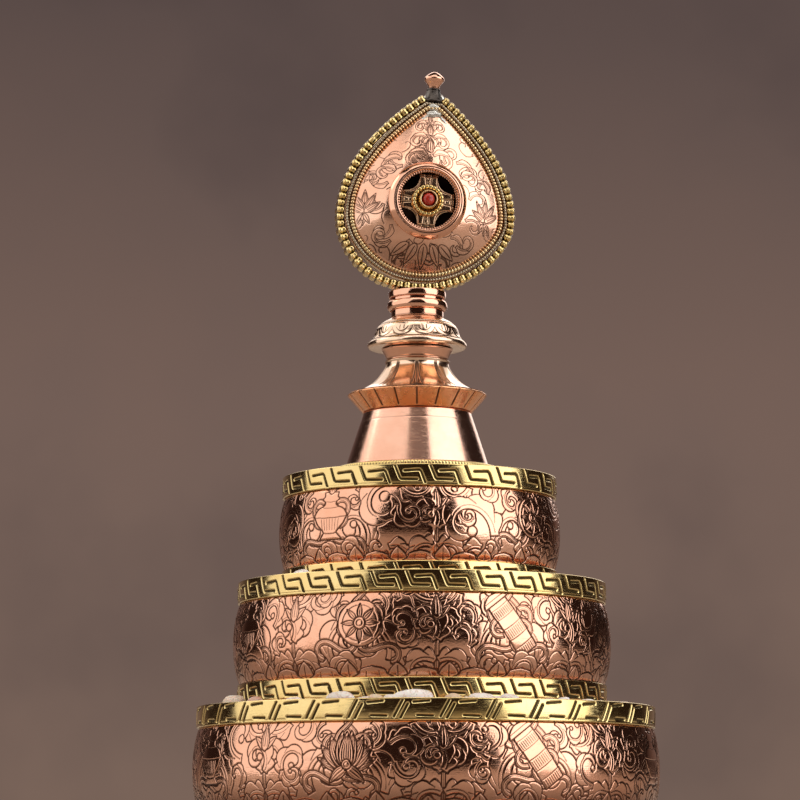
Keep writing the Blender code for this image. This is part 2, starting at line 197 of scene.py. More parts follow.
# =====================================================================================
# mesh builder
# =====================================================================================
class Build:
    """Collects quad grids and makes one mesh of them, with a UV map and vertex attributes."""

    def __init__(self):
        self.v, self.loops, self.starts, self.uv, self.mat = [], [], [], [], []
        self.ink, self.tint = [], []
        self.nv = self.nl = 0

    def grid(self, P, wrap_u=False, wrap_v=False, rect=(0, 0, 1, 1), ink=None, tint=None, mat=0, flip=False):
        """P is rows by columns by 3. Columns go round, rows go along the section."""
        P = np.asarray(P, float)
        nr, nc = P.shape[:2]
        jr = np.arange(nr if wrap_v else nr - 1)
        ic = np.arange(nc if wrap_u else nc - 1)
        J, I = np.meshgrid(jr, ic, indexing="ij")
        J2, I2 = (J + 1) % nr, (I + 1) % nc
        q = np.stack([J * nc + I, J * nc + I2, J2 * nc + I2, J2 * nc + I], -1).reshape(-1, 4)
        nu, nw = len(ic), len(jr)
        u0, v0, u1, v1 = rect
        U = np.stack([I, I + 1, I + 1, I], -1).reshape(-1, 4) / nu * (u1 - u0) + u0
        W = np.stack([J, J, J + 1, J + 1], -1).reshape(-1, 4) / nw * (v1 - v0) + v0
        if flip:
            q, U, W = q[:, ::-1], U[:, ::-1], W[:, ::-1]
        self.faces(P.reshape(-1, 3), q, np.stack([U, W], -1), ink, tint, mat)

    def faces(self, verts, faces, uv, ink=None, tint=None, mat=0):
        """faces is N by k indices, uv is N by k by 2."""
        faces = np.asarray(faces)
        n, k = faces.shape
        self.v.append(np.asarray(verts, float))
        self.loops.append((faces + self.nv).reshape(-1))
        self.starts.append(self.nl + np.arange(n) * k)
        self.uv.append(np.asarray(uv, float).reshape(-1, 2))
        self.mat.append(np.full(n, mat))
        z = np.zeros(len(verts))
        self.ink.append(z if ink is None else np.asarray(ink, float).reshape(-1))
        self.tint.append(z + 0.5 if tint is None else np.asarray(tint, float).reshape(-1))
        self.nv += len(verts)
        self.nl += n * k

    def make(self, name, mats, body, nodes=(), matrix=None, smooth=True, sharp=None):
        me = bpy.data.meshes.new(name)
        v = np.concatenate(self.v) * MM
        if matrix is not None:
            M = np.array(matrix)
            v = v @ M[:3, :3].T + M[:3, 3]
        loops = np.concatenate(self.loops).astype(np.int32)
        starts = np.concatenate(self.starts).astype(np.int32)
        me.vertices.add(len(v))
        me.vertices.foreach_set("co", v.astype(np.float32).ravel())
        me.loops.add(len(loops))
        me.loops.foreach_set("vertex_index", loops)
        me.polygons.add(len(starts))
        me.polygons.foreach_set("loop_start", starts)
        me.polygons.foreach_set("material_index", np.concatenate(self.mat).astype(np.int32))
        me.update(calc_edges=True)
        me.polygons.foreach_set("use_smooth", np.full(len(starts), smooth))
        layer = me.uv_layers.new(name="OFBake", do_init=False)
        layer.uv.foreach_set("vector", np.concatenate(self.uv).astype(np.float32).ravel())
        for key, arr in (("ink", self.ink), ("tint", self.tint)):
            at = me.attributes.new(key, "FLOAT", "POINT")
            at.data.foreach_set("value", np.concatenate(arr).astype(np.float32))
        if sharp is not None:
            me.set_sharp_from_angle(angle=math.radians(sharp))
        ob = bpy.data.objects.new(name, me)
        bpy.context.scene.collection.objects.link(ob)
        for m in mats if isinstance(mats, (list, tuple)) else [mats]:
            me.materials.append(m)
        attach(ob, body)
        if nodes:
            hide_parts(*nodes)
        return ob


def spin(profile, nc, x=0.0, y=0.0, a0=0.0):
    """Profile rows of (radius, height) turned into rows by columns by 3."""
    profile = np.asarray(profile, float)
    a = a0 + np.arange(nc) / nc * TAU
    P = np.empty((len(profile), nc, 3))
    P[..., 0] = x + profile[:, :1] * np.cos(a)
    P[..., 1] = y + profile[:, :1] * np.sin(a)
    P[..., 2] = profile[:, 1:2]
    return P


def resample(points, step):
    """A polyline of (radius, height) cut to even steps along its length; returns points, normals, lengths."""
    p = np.asarray(points, float)
    s = np.concatenate([[0], np.cumsum(np.hypot(*np.diff(p, axis=0).T))])
    n = max(2, int(round(s[-1] / step)) + 1)
    t = np.linspace(0, s[-1], n)
    q = np.stack([np.interp(t, s, p[:, 0]), np.interp(t, s, p[:, 1])], -1)
    d = np.gradient(q, axis=0)
    d /= np.hypot(d[:, 0], d[:, 1])[:, None]
    return q, np.stack([-d[:, 1], d[:, 0]], -1), t


def wobble(theta, z, seed, amp, freq=(3, 19), count=14, zlen=30.0):
    """Slow hand-made unevenness, periodic round the ring."""
    r = np.random.default_rng(seed)
    out = np.zeros(np.broadcast(theta, z).shape)
    for _ in range(count):
        k = int(r.integers(*freq))
        out = out + np.cos(k * theta + r.uniform(0, TAU) + z / zlen * r.uniform(-3, 3)) * r.uniform(0.4, 1) / math.sqrt(k)
    return out * amp / math.sqrt(count)


# =====================================================================================
# chased designs, drawn on an unrolled sheet
# =====================================================================================
class Sheet:
    """Fields over an unrolled band, u round (it wraps) and v up, in mm:
    G is how deep a chased line is, R the raised relief, M where a motif covers the ground."""

    def __init__(self, W, H, px=0.12):
        self.W, self.H = W, H
        self.nu, self.nv = int(round(W / px)), int(round(H / px))
        self.pu, self.pv = W / self.nu, H / self.nv
        self.G = np.zeros((self.nv, self.nu), np.float32)
        self.R = np.zeros_like(self.G)
        self.M = np.zeros_like(self.G)

    def window(self, pts, pad):
        u0, v0 = pts.min(0) - pad
        u1, v1 = pts.max(0) + pad
        i = np.arange(int(math.floor(u0 / self.pu)), int(math.ceil(u1 / self.pu)) + 1)
        j = np.arange(max(0, int(v0 / self.pv)), min(self.nv, int(v1 / self.pv) + 2))
        X, Y = np.meshgrid((i + 0.5) * self.pu, (j + 0.5) * self.pv)
        return X, Y, np.ix_(j, i % self.nu)

    @staticmethod
    def dist(X, Y, pts, closed=False):
        if closed:
            pts = np.vstack([pts, pts[:1]])
        best = np.full(X.shape, 1e9)
        for (x0, y0), (x1, y1) in zip(pts[:-1], pts[1:]):
            dx, dy = x1 - x0, y1 - y0
            l2 = dx * dx + dy * dy
            if l2 < 1e-12:
                continue
            t = np.clip(((X - x0) * dx + (Y - y0) * dy) / l2, 0, 1)
            np.minimum(best, (X - x0 - t * dx) ** 2 + (Y - y0 - t * dy) ** 2, out=best)
        return np.sqrt(best)

    @staticmethod
    def inside(X, Y, pts):
        c = np.zeros(X.shape, bool)
        x0, y0 = pts[-1]
        for x1, y1 in pts:
            if y0 != y1:
                m = (Y < y1) != (Y < y0)
                c ^= m & (X < (x1 - x0) * (Y - y0) / (y1 - y0) + x0)
            x0, y0 = x1, y1
        return c

    @staticmethod
    def groove(d, w):
        return np.clip(1.15 - (d / (w * 0.62)) ** 2, 0, 1)

    def shape(self, pts, line=0.5, lift=1.0, soft=1.1, veins=(), vein=0.32, depth=1.0):
        pts = np.asarray(pts, float)
        X, Y, ix = self.window(pts, line)
        if X.size == 0:
            return
        d = self.dist(X, Y, pts, True)
        ins = self.inside(X, Y, pts)
        G, R, M = self.G[ix], self.R[ix], self.M[ix]
        G[ins] = 0
        R[ins] = (lift * (1 - np.exp(-d / soft)))[ins]
        M[ins] = 1
        G = np.maximum(G, self.groove(d, line) * depth)
        for v in veins:
            v = np.asarray(v, float)
            if len(v) > 1:
                G = np.maximum(G, self.groove(self.dist(X, Y, v), vein) * ins * 0.8 * depth)
        self.G[ix], self.R[ix], self.M[ix] = G, R, M

    def stroke(self, pts, line=0.4, depth=1.0):
        pts = np.asarray(pts, float)
        X, Y, ix = self.window(pts, line)
        if X.size:
            self.G[ix] = np.maximum(self.G[ix], self.groove(self.dist(X, Y, pts), line) * depth)

    def free(self, u, v, r):
        """Whether no motif lies within r of a point."""
        i = np.arange(int((u - r) / self.pu), int((u + r) / self.pu) + 1, 3) % self.nu
        j = np.arange(int((v - r) / self.pv), int((v + r) / self.pv) + 1, 3)
        j = np.clip(j, 0, self.nv - 1)
        return self.M[np.ix_(j, i)].max() == 0

    def sample(self, field, nu, v):
        """Field at nu even columns and the heights v, by linear interpolation."""
        u = (np.arange(nu) + 0.0) / nu * self.nu - 0.5
        i0 = np.floor(u).astype(int)
        fu = (u - i0)[None, :]
        w = np.clip(np.asarray(v) / self.pv - 0.5, 0, self.nv - 1.001)
        j0 = np.floor(w).astype(int)
        fv = (w - j0)[:, None]
        a = field[np.ix_(j0, i0 % self.nu)] * (1 - fu) + field[np.ix_(j0, (i0 + 1) % self.nu)] * fu
        b = field[np.ix_(j0 + 1, i0 % self.nu)] * (1 - fu) + field[np.ix_(j0 + 1, (i0 + 1) % self.nu)] * fu
        return a * (1 - fv) + b * fv


def path(x, y, a, L, k, n=36):
    """A curve from (x, y), heading a, of length L, whose curvature per mm is k(t). Returns points and headings."""
    t = np.linspace(0, 1, n)
    ds = L / (n - 1)
    kk = np.broadcast_to(k(t), t.shape)
    ang = a + np.concatenate([[0], np.cumsum((kk[1:] + kk[:-1]) / 2 * ds)])
    m = (ang[1:] + ang[:-1]) / 2
    P = np.stack([x + np.concatenate([[0], np.cumsum(np.cos(m) * ds)]),
                  y + np.concatenate([[0], np.cumsum(np.sin(m) * ds)])], -1)
    return P, ang


def offset(P, ang, w):
    return P + np.stack([-np.sin(ang), np.cos(ang)], -1) * np.asarray(w)[:, None]


def leaf(sheet, x, y, a, L, w, bend=0.0, veins=3, line=0.45, lift=1.0):
    """Pointed leaf or petal from its foot."""
    P, ang = path(x, y, a, L, lambda t: bend + 0 * t, 16)
    t = np.linspace(0, 1, 16)
    hw = w * 0.5 * np.sin(np.pi * t ** 0.75) ** 0.85 * (1 - 0.15 * t)
    out = np.vstack([offset(P, ang, hw), offset(P, ang, -hw)[::-1]])
    vs = []
    if veins == 1:
        vs = [P[2:-3]]
    elif veins > 1:
        for s in np.linspace(-0.6, 0.6, veins):
            vs.append(offset(P, ang, hw * s)[3:-2])
    sheet.shape(out, line, lift, veins=vs)


def curl(sheet, x, y, a, L, hand, w, turn=1.5, lobes=4, line=0.43, lift=1.0, lead=0.25, ball=True):
    """Lobed scroll leaf that starts almost straight and winds up. turn is how far it turns, in turns."""
    tot = turn * TAU
    norm = 1 / (lead + (1 - lead) / 2.6)
    P, ang = path(x, y, a, L, lambda t: hand * tot / L * norm * (lead + (1 - lead) * t ** 1.6), 64)
    t = np.linspace(0, 1, 64)
    taper = (1 - t) ** 0.62
    scal = 0.62 + 0.75 * np.abs(np.sin(np.pi * (lobes * t ** 0.85 + 0.02))) ** 0.7
    fade = np.clip((t - 0.04) / 0.1, 0, 1)
    outer = w * taper * (scal * fade + 0.35 * (1 - fade)) + 0.16
    inner = w * 0.42 * taper + 0.16
    out = np.vstack([offset(P, ang, -hand * outer), offset(P, ang, hand * inner)[::-1]])
    veins = [P[2:40]]
    for i in range(1, lobes):
        tc = ((i - 0.02) / lobes) ** (1 / 0.85)
        j = int(tc * 63)
        if 4 < j < 56:
            n = np.array([-math.sin(ang[j]), math.cos(ang[j])]) * -hand
            q = P[j] + n * outer[j] * 0.98
            r = P[max(0, j - 5)] + n * outer[j] * 0.35
            veins.append(np.array([q, (q + r) / 2 + n * 0.1, r]))
    sheet.shape(out, line, lift, veins=veins, vein=0.26)
    if ball:
        c = P[-3]
        th = np.linspace(0, TAU, 16, endpoint=False)
        r = max(0.45, w * 0.42)
        sheet.shape(c + r * np.stack([np.cos(th), np.sin(th)], -1), line * 0.9, 1.2, 0.5)
    return P, ang


def curl_at(sheet, cx, cy, a, L, hand, w, turn, lobes):
    """A scroll leaf whose middle is at (cx, cy)."""
    norm = 1 / (0.25 + 0.75 / 2.6)
    P, _ = path(0, 0, a, L, lambda t: hand * turn * TAU / L * norm * (0.25 + 0.75 * t ** 1.6), 40)
    mid = (P.min(0) + P.max(0)) / 2
    curl(sheet, cx - mid[0], cy - mid[1], a, L, hand, w, turn, lobes, 0.38, ball=w > 1.2)


def stem(sheet, x, y, a, L, k, w0, w1, line=0.42, mid=True):
    P, ang = path(x, y, a, L, k, 44)
    w = np.linspace(w0, w1, 44) / 2
    sheet.shape(np.vstack([offset(P, ang, w), offset(P, ang, -w)[::-1]]), line, 0.8, 0.6,
                veins=[P[1:-1]] if mid else (), vein=0.26)
    return P, ang


def ribbon(sheet, x, y, a, L, k, w=1.9, line=0.42):
    P, ang = path(x, y, a, L, k, 60)
    hw = np.full(60, w / 2)
    hw[-6:] *= np.array([1, 1.15, 1.3, 1.4, 1.2, 0.3])
    sheet.shape(np.vstack([offset(P, ang, hw), offset(P, ang, -hw)[::-1]]), line, 0.7, 0.5,
                veins=[offset(P, ang, hw * 0.42), offset(P, ang, -hw * 0.42)], vein=0.26)
    return P, ang


def disc(sheet, x, y, r, line=0.45, rings=(), lift=1.1, ry=None):
    th = np.linspace(0, TAU, 28, endpoint=False)
    c = np.stack([np.cos(th) * r, np.sin(th) * (ry or r)], -1)
    vs = [np.array([x, y]) + np.vstack([c, c[:1]]) * k for k in rings]
    sheet.shape(np.array([x, y]) + c, line, lift, veins=vs, vein=0.3)


def lotus(sheet, x, y, s):
    """Open lotus seen from the side, s its half width."""
    for a, l, w in ((-82, 1.0, 0.36), (-62, 1.08, 0.42), (-40, 1.12, 0.46), (-20, 1.15, 0.46)):
        for m in (-1, 1):
            leaf(sheet, x, y, math.radians(90 + m * a), s * l, s * w, m * 0.035, 4)
    leaf(sheet, x, y - 0.2, math.pi / 2, s * 1.12, s * 0.5, 0, 5)
    for m in (-1, 1):
        leaf(sheet, x, y + 0.3, math.radians(90 + m * 118), s * 0.72, s * 0.34, m * 0.05, 3)
    disc(sheet, x, y + s * 0.12, s * 0.15, rings=(0.5,))


def banner(sheet, x, y, s, tilt):
    """Rolled banner: a leaning cylinder with cloth bands and a domed cap."""
    ca, sa = math.cos(tilt), math.sin(tilt)

    def loc(p):
        p = np.asarray(p, float)
        return np.stack([x + p[:, 0] * ca - p[:, 1] * sa, y + p[:, 0] * sa + p[:, 1] * ca], -1)

    w, h = s * 0.46, s * 1.34
    body = [(-w, -h), (w, -h), (w * 1.05, h * 0.75), (-w * 1.05, h * 0.75)]
    xs = np.linspace(-w, w, 13)
    vs = []
    for f in (-0.72, -0.42, -0.05, 0.28, 0.60):
        vs.append(loc([(q, h * f + 0.25 * (q / w) ** 2) for q in xs]))
    for q in np.linspace(-w * 0.85, w * 0.85, 9):
        vs.append(loc([(q, -h * 0.95), (q, -h * 0.75)]))
        vs.append(loc([(q, -h * 0.36), (q, -h * 0.10)]))
        vs.append(loc([(q, h * 0.33), (q, h * 0.55)]))
    sheet.shape(loc(body), 0.5, 1.2, 1.6, veins=vs, vein=0.28)
    th = np.linspace(0, math.pi, 15)
    cap = [(w * 1.35 * math.cos(t), h * 0.75 + w * 0.85 * math.sin(t)) for t in th]
    sheet.shape(loc(cap), 0.48, 1.2, veins=[loc([(q * 1.1, h * 0.88) for q in xs])])
    c = loc([(0, h * 0.75 + w * 1.15)])[0]
    disc(sheet, c[0], c[1], w * 0.32)


def vase(sheet, x, y, s):
    """Round-bellied vase with a flaring foot and neck and a bud in its mouth."""
    t = np.linspace(-1, 1, 30)
    s, prof = s * 1.05, 1.35 * np.interp(t, [-1, -0.85, -0.7, -0.35, 0.0, 0.28, 0.42, 0.55, 0.72, 0.8, 1.0],
                     [0.44, 0.34, 0.24, 0.52, 0.66, 0.52, 0.24, 0.20, 0.36, 0.26, 0.28])
    yy = y + t * s
    out = np.vstack([np.stack([x + prof * s, yy], -1), np.stack([x - prof * s, yy], -1)[::-1]])
    vs = []
    for f in (-0.72, -0.05, 0.36, 0.62):
        w = np.interp(f, t, prof) * s
        q = np.linspace(-w, w, 9)
        vs.append(np.stack([x + q, y + f * s - 0.4 * (1 - (q / w) ** 2)], -1))
    for q in np.linspace(-0.4, 0.4, 7):
        vs.append(np.array([(x + q * s, y - 0.6 * s), (x + q * s * 1.15, y - 0.14 * s)]))
    sheet.shape(out, 0.5, 1.2, 1.6, veins=vs, vein=0.28)
    leaf(sheet, x, y + s * 0.9, math.pi / 2, s * 0.65, s * 0.42, 0, 3)


def wheel(sheet, x, y, s):
    disc(sheet, x, y, s * 0.9, rings=(0.78,), lift=1.0)
    for i in range(8):
        a = i * TAU / 8
        leaf(sheet, x + 0.2 * s * math.cos(a), y + 0.2 * s * math.sin(a), a, s * 0.56, s * 0.20, 0, 1, 0.38)
    disc(sheet, x, y, s * 0.24, rings=(0.5,))


def knot(sheet, x, y, s):
    """Interlaced endless knot."""
    k = s * 0.36
    for i, (a, b) in enumerate([(-1, -1), (-1, 0), (-1, 1), (1, -1), (1, 0), (1, 1)]):
        ang = math.radians(45 if a < 0 else -45)
        c = np.array([x, y]) + b * k * np.array([-math.sin(ang), math.cos(ang)])
        d = np.array([math.cos(ang), math.sin(ang)]) * s * 0.85
        stem(sheet, *(c - d), ang, 2 * s * 0.85, lambda t: 0 * t, 1.5, 1.5)
    for dx, dy in ((0, 1), (0, -1), (1, 0), (-1, 0)):
        disc(sheet, x + dx * s * 0.95, y + dy * s * 0.95, s * 0.2, rings=(0.45,))


MOTIFS = {"lotus": lotus, "vase": vase, "wheel": wheel, "knot": knot}


def palmette(sheet, x, H, s, foot=0.0):
    """Upright plant between two motifs: paired scrolls on a stem, with a bud on top."""
    y = foot + 0.10 * H
    stem(sheet, x, y - 0.1 * H, math.pi / 2, H * 0.58, lambda t: 0 * t, 1.5, 1.0)
    for m in (-1, 1):
        curl(sheet, x + m * 0.3, y, math.radians(90 - m * 60), s * 2.4, m * -1, s * 0.34, 1.0, 4)
        curl(sheet, x + m * 0.3, y + 0.22 * H, math.radians(90 - m * 32), s * 2.6, m, s * 0.34, 1.15, 4)
    for m in (-1, 1):
        leaf(sheet, x, y + 0.46 * H, math.radians(90 - m * 38), s * 0.72, s * 0.30, -m * 0.05, 1)
    leaf(sheet, x, y + 0.44 * H, math.pi / 2, s * 0.98, s * 0.42, 0, 3)


def unit(sheet, x, L, H, foot, what, r):
    """One motif with its ribbons and side scrolls, centred on x, in a length L."""
    s = H * 0.285
    cy = foot + (H - foot) * 0.53
    for m in (-1, 1):
        w = 1.0 if m > 0 else r.uniform(0.9, 1.1)
        # great scrolls that fill the flanks
        curl(sheet, x + m * L * 0.20, foot + 0.5, math.radians(90 - m * (22 + r.uniform(-6, 6))),
             H * 1.30 * w, m, H * 0.115, 1.3, 5)
        curl(sheet, x + m * L * 0.34, H - 1.5, math.radians(-90 + m * (30 + r.uniform(-8, 8))),
             H * 0.95, m, H * 0.095, 1.15, 4)
        curl(sheet, x + m * L * 0.29, foot + 0.5, math.radians(90 - m * 70), H * 0.75, -m, H * 0.085, 1.1, 3)
        curl(sheet, x + m * L * 0.13, H - 1.2, math.radians(-90 + m * 66), H * 0.62, -m, H * 0.055, 1.2, 3)
    for m in (-1, 1):
        ph = r.uniform(0, 1)
        ribbon(sheet, x + m * s * 0.35, cy + s * 0.55, math.radians(90 - m * 48), H * 1.35,
               lambda t, m=m, ph=ph: -m * (0.34 * np.sin(TAU * (1.25 * t + 0.10 + 0.05 * ph)) + 0.03), H * 0.062)
        ribbon(sheet, x + m * s * 0.35, cy - s * 0.45, math.radians(90 - m * 112), H * 1.0,
               lambda t, m=m: m * (0.36 * np.sin(TAU * (1.15 * t + 0.06)) + 0.05), H * 0.058)
    if what == "banner":
        banner(sheet, x, cy, s * 0.98, math.radians(36))
    else:
        MOTIFS[what](sheet, x, cy - (s * 0.55 if what == "lotus" else 0), s * (1.25 if what == "lotus" else 1.0))


def chase(W, H, units, kinds, seed, u0, foot=None, palm=True):
    """A whole hoop's design. u0 is where the first motif sits."""
    r = np.random.default_rng(seed)
    sh = Sheet(W, H)
    L = W / units
    foot = H * 0.19 if foot is None else foot
    for i in range(units):
        unit(sh, u0 + i * L, L, H, foot, kinds[i % len(kinds)], r)
    if palm:
        for i in range(units):
            palmette(sh, u0 + (i + 0.5) * L, H, H * 0.30, foot * 0.6)
    # scroll leaves of falling size in what is left
    for size, tries in ((H * 0.250, 90), (H * 0.180, 150), (H * 0.125, 260), (H * 0.085, 260)):
        for _ in range(int(tries * W / 60)):
            x, y = r.uniform(0, W), r.uniform(foot * 0.7, H - 0.8)
            if sh.free(x, y, size * 0.70):
                curl_at(sh, x, y, r.uniform(0, TAU), size * 5.4, 1 if r.random() < 0.5 else -1, size * 0.64,
                        r.uniform(0.75, 1.1), 4 if size > 2.4 else 3)
    # lotus petals and leaf tips standing along the lower edge
    n = int(round(W / (H * 0.56)))
    pw = W / n
    for i in range(n):
        x = (i + 0.5) * pw
        leaf(sh, x, -0.8, math.pi / 2, foot * r.uniform(1.15, 1.4), pw * 0.40, 0, 1)
    for i in range(n):
        x = i * pw
        h = foot * r.uniform(0.80, 1.0)
        t = np.linspace(0, 1, 12)
        w = pw * 0.40 * (1 - t ** 2.3) ** 0.7 * (1 + 0.16 * np.sin(t * 9))
        out = np.vstack([np.stack([x + w, t * h - 0.6], -1), np.stack([x - w, t * h - 0.6], -1)[::-1]])
        vs = [np.array([(x + q * pw * 0.8, -0.6), (x + q * pw * 0.62, h * (0.80 - abs(q) * 1.3))]) for q in (-0.2, 0.2)]
        sh.shape(out, 0.42, 1.1, 1.4, veins=vs, vein=0.26)
    sh.stroke(np.array([(0, H - 0.9), (W, H - 0.9)]), 0.4, 0.8)
    sh.stroke(np.array([(0, 0.35), (W, 0.35)]), 0.4, 0.8)
    # punched ground
    yy, xx = np.mgrid[0:sh.nv, 0:sh.nu]
    S = np.zeros_like(sh.G)
    pitch = 0.62
    for gy in range(int(H / pitch)):
        for gx in range(int(W / pitch)):
            i = int((gx + 0.5 * (gy % 2) + r.uniform(-0.22, 0.22)) * pitch / sh.pu) % sh.nu
            j = int((gy + 0.5 + r.uniform(-0.22, 0.22)) * pitch / sh.pv)
            if 1 <= j < sh.nv - 2 and sh.M[j, i] == 0:
                S[j - 1:j + 2, [i - 1, i, (i + 1) % sh.nu]] = [[0.2, 0.6, 0.2], [0.6, 1, 0.6], [0.2, 0.6, 0.2]]
    sh.S = S * (1 - sh.M)
    return sh


def key_sheet(R, H, pitch=12.0, worn=False):
    """Stamped key pattern: interlocked hooks cut into the strip, or its stretched slanting form."""
    W = TAU * R
    n = int(round(W / pitch))
    P = W / n
    sh = Sheet(W, H, 0.1)
    line = 0.78

    def poly(pts):
        sh.stroke(np.array(pts), line)

    for i in range(n):
        x = i * P
        if not worn:
            poly([(x + 0.02 * P, H * 0.96), (x + 0.17 * P, H * 0.34), (x + 0.20 * P, H * 0.28), (x + 0.66 * P, H * 0.26)])
            poly([(x + 0.30 * P, H * 0.66), (x + 0.72 * P, H * 0.70), (x + 0.77 * P, H * 0.62), (x + 0.90 * P, H * 0.05)])
        else:
            poly([(x + 0.02 * P, H * 0.16), (x + 0.21 * P, H * 0.90)])
            poly([(x + 0.15 * P, H * 0.06), (x + 0.32 * P, H * 0.72)])
            poly([(x + 0.44 * P, H * 0.80), (x + 0.78 * P, H * 0.86)])
            poly([(x + 0.52 * P, H * 0.22), (x + 0.86 * P, H * 0.20)])
    return sh


# =====================================================================================
# base pan and hoops
# =====================================================================================
BAND_H, BAND_T, GAP, SHEET_T = 7.5, 1.1, 0.3, 1.0
BASE_H, BASE_EDGE, BASE_BULGE = 40.0, 96.6, 100.0
TIERS = (
    ("large_ring", 79.9, 82.7, 40.3, 84.5, 2.0),
    ("middle_ring", 64.3, 67.3, 84.7, 128.4, 0.6),
    ("small_ring", 47.7, 50.3, 125.3, 166.2, -0.2),
)
FRONT = -math.pi / 2          # azimuth that faces the camera


def bulge(edge_r, bulge_r, low, high, power=0.62, n=160):
    """Wall section from the lower edge up."""
    t = np.linspace(0, 1, n)
    t = 0.5 - 0.5 * np.cos(np.pi * t)
    return np.stack([edge_r + (bulge_r - edge_r) * np.sin(np.pi * t) ** power, low + (high - low) * t], -1)


def hoop_wall(b, edge_r, bulge_r, low, rim, x, sheet, seed, pitch, rect, seam=None, painted_low_shade=0.12):
    """Chased outer face between the bands, from the bottom up."""
    lo, hi = low + BAND_H - 0.6, rim - BAND_H + 0.6
    q, nrm, s = resample(bulge(edge_r, bulge_r, lo, hi), pitch)
    nc = int(round(TAU * bulge_r / pitch))
    v = s / s[-1] * sheet.H
    th = np.arange(nc) / nc * TAU
    G = sheet.sample(sheet.G, nc, v)
    R = sheet.sample(sheet.R, nc, v)
    S = sheet.sample(sheet.S, nc, v)
    edge = np.clip(np.minimum(s, s[-1] - s) / 1.2, 0, 1)[:, None]
    d = (0.034 * R - 0.16 * G - 0.035 * S) * edge
    d = d + wobble(th[None, :], q[:, 1:2], seed, 0.16) + wobble(th[None, :], q[:, 1:2], seed + 1, 0.014, (16, 44), 20, 9.0)
    ink = np.clip((G - 0.25) * 1.45, 0, 1) + S * 0.10
    # tarnish that gathers low on the wall
    # painted shade: the lower part of the wall darkened, a little unevenly round the ring, in place of the dark
    # reflection from below
    cloud = 0.5 + 0.5 * np.cos(th * 9 + 2 * np.sin(th * 4) + seed)[None, :]
    ink = np.clip(ink + (painted_low_shade + 0.06 * cloud) * np.clip((0.36 - v / sheet.H) / 0.22, 0, 1)[:, None], 0, 1)
    tint = 0.5 + 0 * ink
    if seam is not None:
        # solder run down the joint of the sheet
        du = (th - seam + math.pi) % TAU - math.pi
        du = du[None, :] * bulge_r + 0.5 * np.sin(q[:, 1:2] * 0.9) + 0.25 * np.sin(q[:, 1:2] * 2.3)
        k = np.exp(-(du / 0.8) ** 2)
        d = d * (1 - k) + k * (0.18 + 0.10 * np.sin(q[:, 1:2] * 1.7))
        ink = ink * (1 - k)
        tint = tint + 0.5 * k
    P = spin(q, nc, x)
    nx = nrm[:, 0:1] * -1
    nz = nrm[:, 1:2] * -1
    P[..., 0] += d * nx * np.cos(th)
    P[..., 1] += d * nx * np.sin(th)
    P[..., 2] += d * nz
    b.grid(P, wrap_u=True, rect=rect, ink=ink, tint=tint)
    return nc, P


def band(name, wall_r, low, x, body, node, pitch, seed, worn=False, step=0.25, mat=None):
    """Brass strip with its key pattern, rolled lips and a slightly wavy soldered edge."""
    r0, r1 = wall_r + GAP * 0.3, wall_r + GAP + BAND_T
    H = BAND_H
    sh = key_sheet(r1, H, pitch, worn)
    nc = int(round(TAU * r1 / step))
    th = np.arange(nc) / nc * TAU
    face = [(r1 - 0.35, low + 0.0), (r1 - 0.05, low + 0.12), (r1, low + 0.4)]
    face += [(r1 + 0.12 * math.sin(math.pi * k), low + 0.4 + (H - 0.8) * k) for k in np.linspace(0.04, 0.96, 26)]
    face += [(r1, low + H - 0.4), (r1 - 0.05, low + H - 0.12), (r1 - 0.35, low + H)]
    q = np.array(face)
    v = q[:, 1] - low
    G = sh.sample(sh.G, nc, v)
    lip = np.exp(-((v - 0.75) / 0.22) ** 2) + np.exp(-((v - H + 0.75) / 0.22) ** 2)
    G = G * np.clip((np.minimum(v, H - v) - 0.35) / 0.3, 0, 1)[:, None]
    wz = wobble(th[None, :], 0, seed, 0.16, (4, 40), 18)
    d = -0.50 * G - 0.05 * lip[:, None] + wobble(th[None, :], q[:, 1:2], seed + 3, 0.14, (3, 30), 18)
    P = spin(q, nc, x)
    P[..., 0] += d * np.cos(th)
    P[..., 1] += d * np.sin(th)
    P[..., 2] += wz * np.clip(1 - v / 2.0, 0, 1)[:, None]
    b = Build()
    b.grid(P, wrap_u=True, rect=(0, 0.25, 1, 1), ink=np.clip(G * 1.5 - 0.30, 0, 1))
    back = np.array([(r1 - 0.35, low + H), (r1 - 0.8, low + H + 0.02), (r0, low + H - 0.1), (r0, low + 0.1),
                     (r1 - 0.8, low), (r1 - 0.35, low)])
    Q = spin(back, nc, x)
    Q[0], Q[-1] = P[-1], P[0]
    b.grid(Q, wrap_u=True, rect=(0, 0, 1, 0.24))
    return b.make(name, mat or BRASS, body, [node])


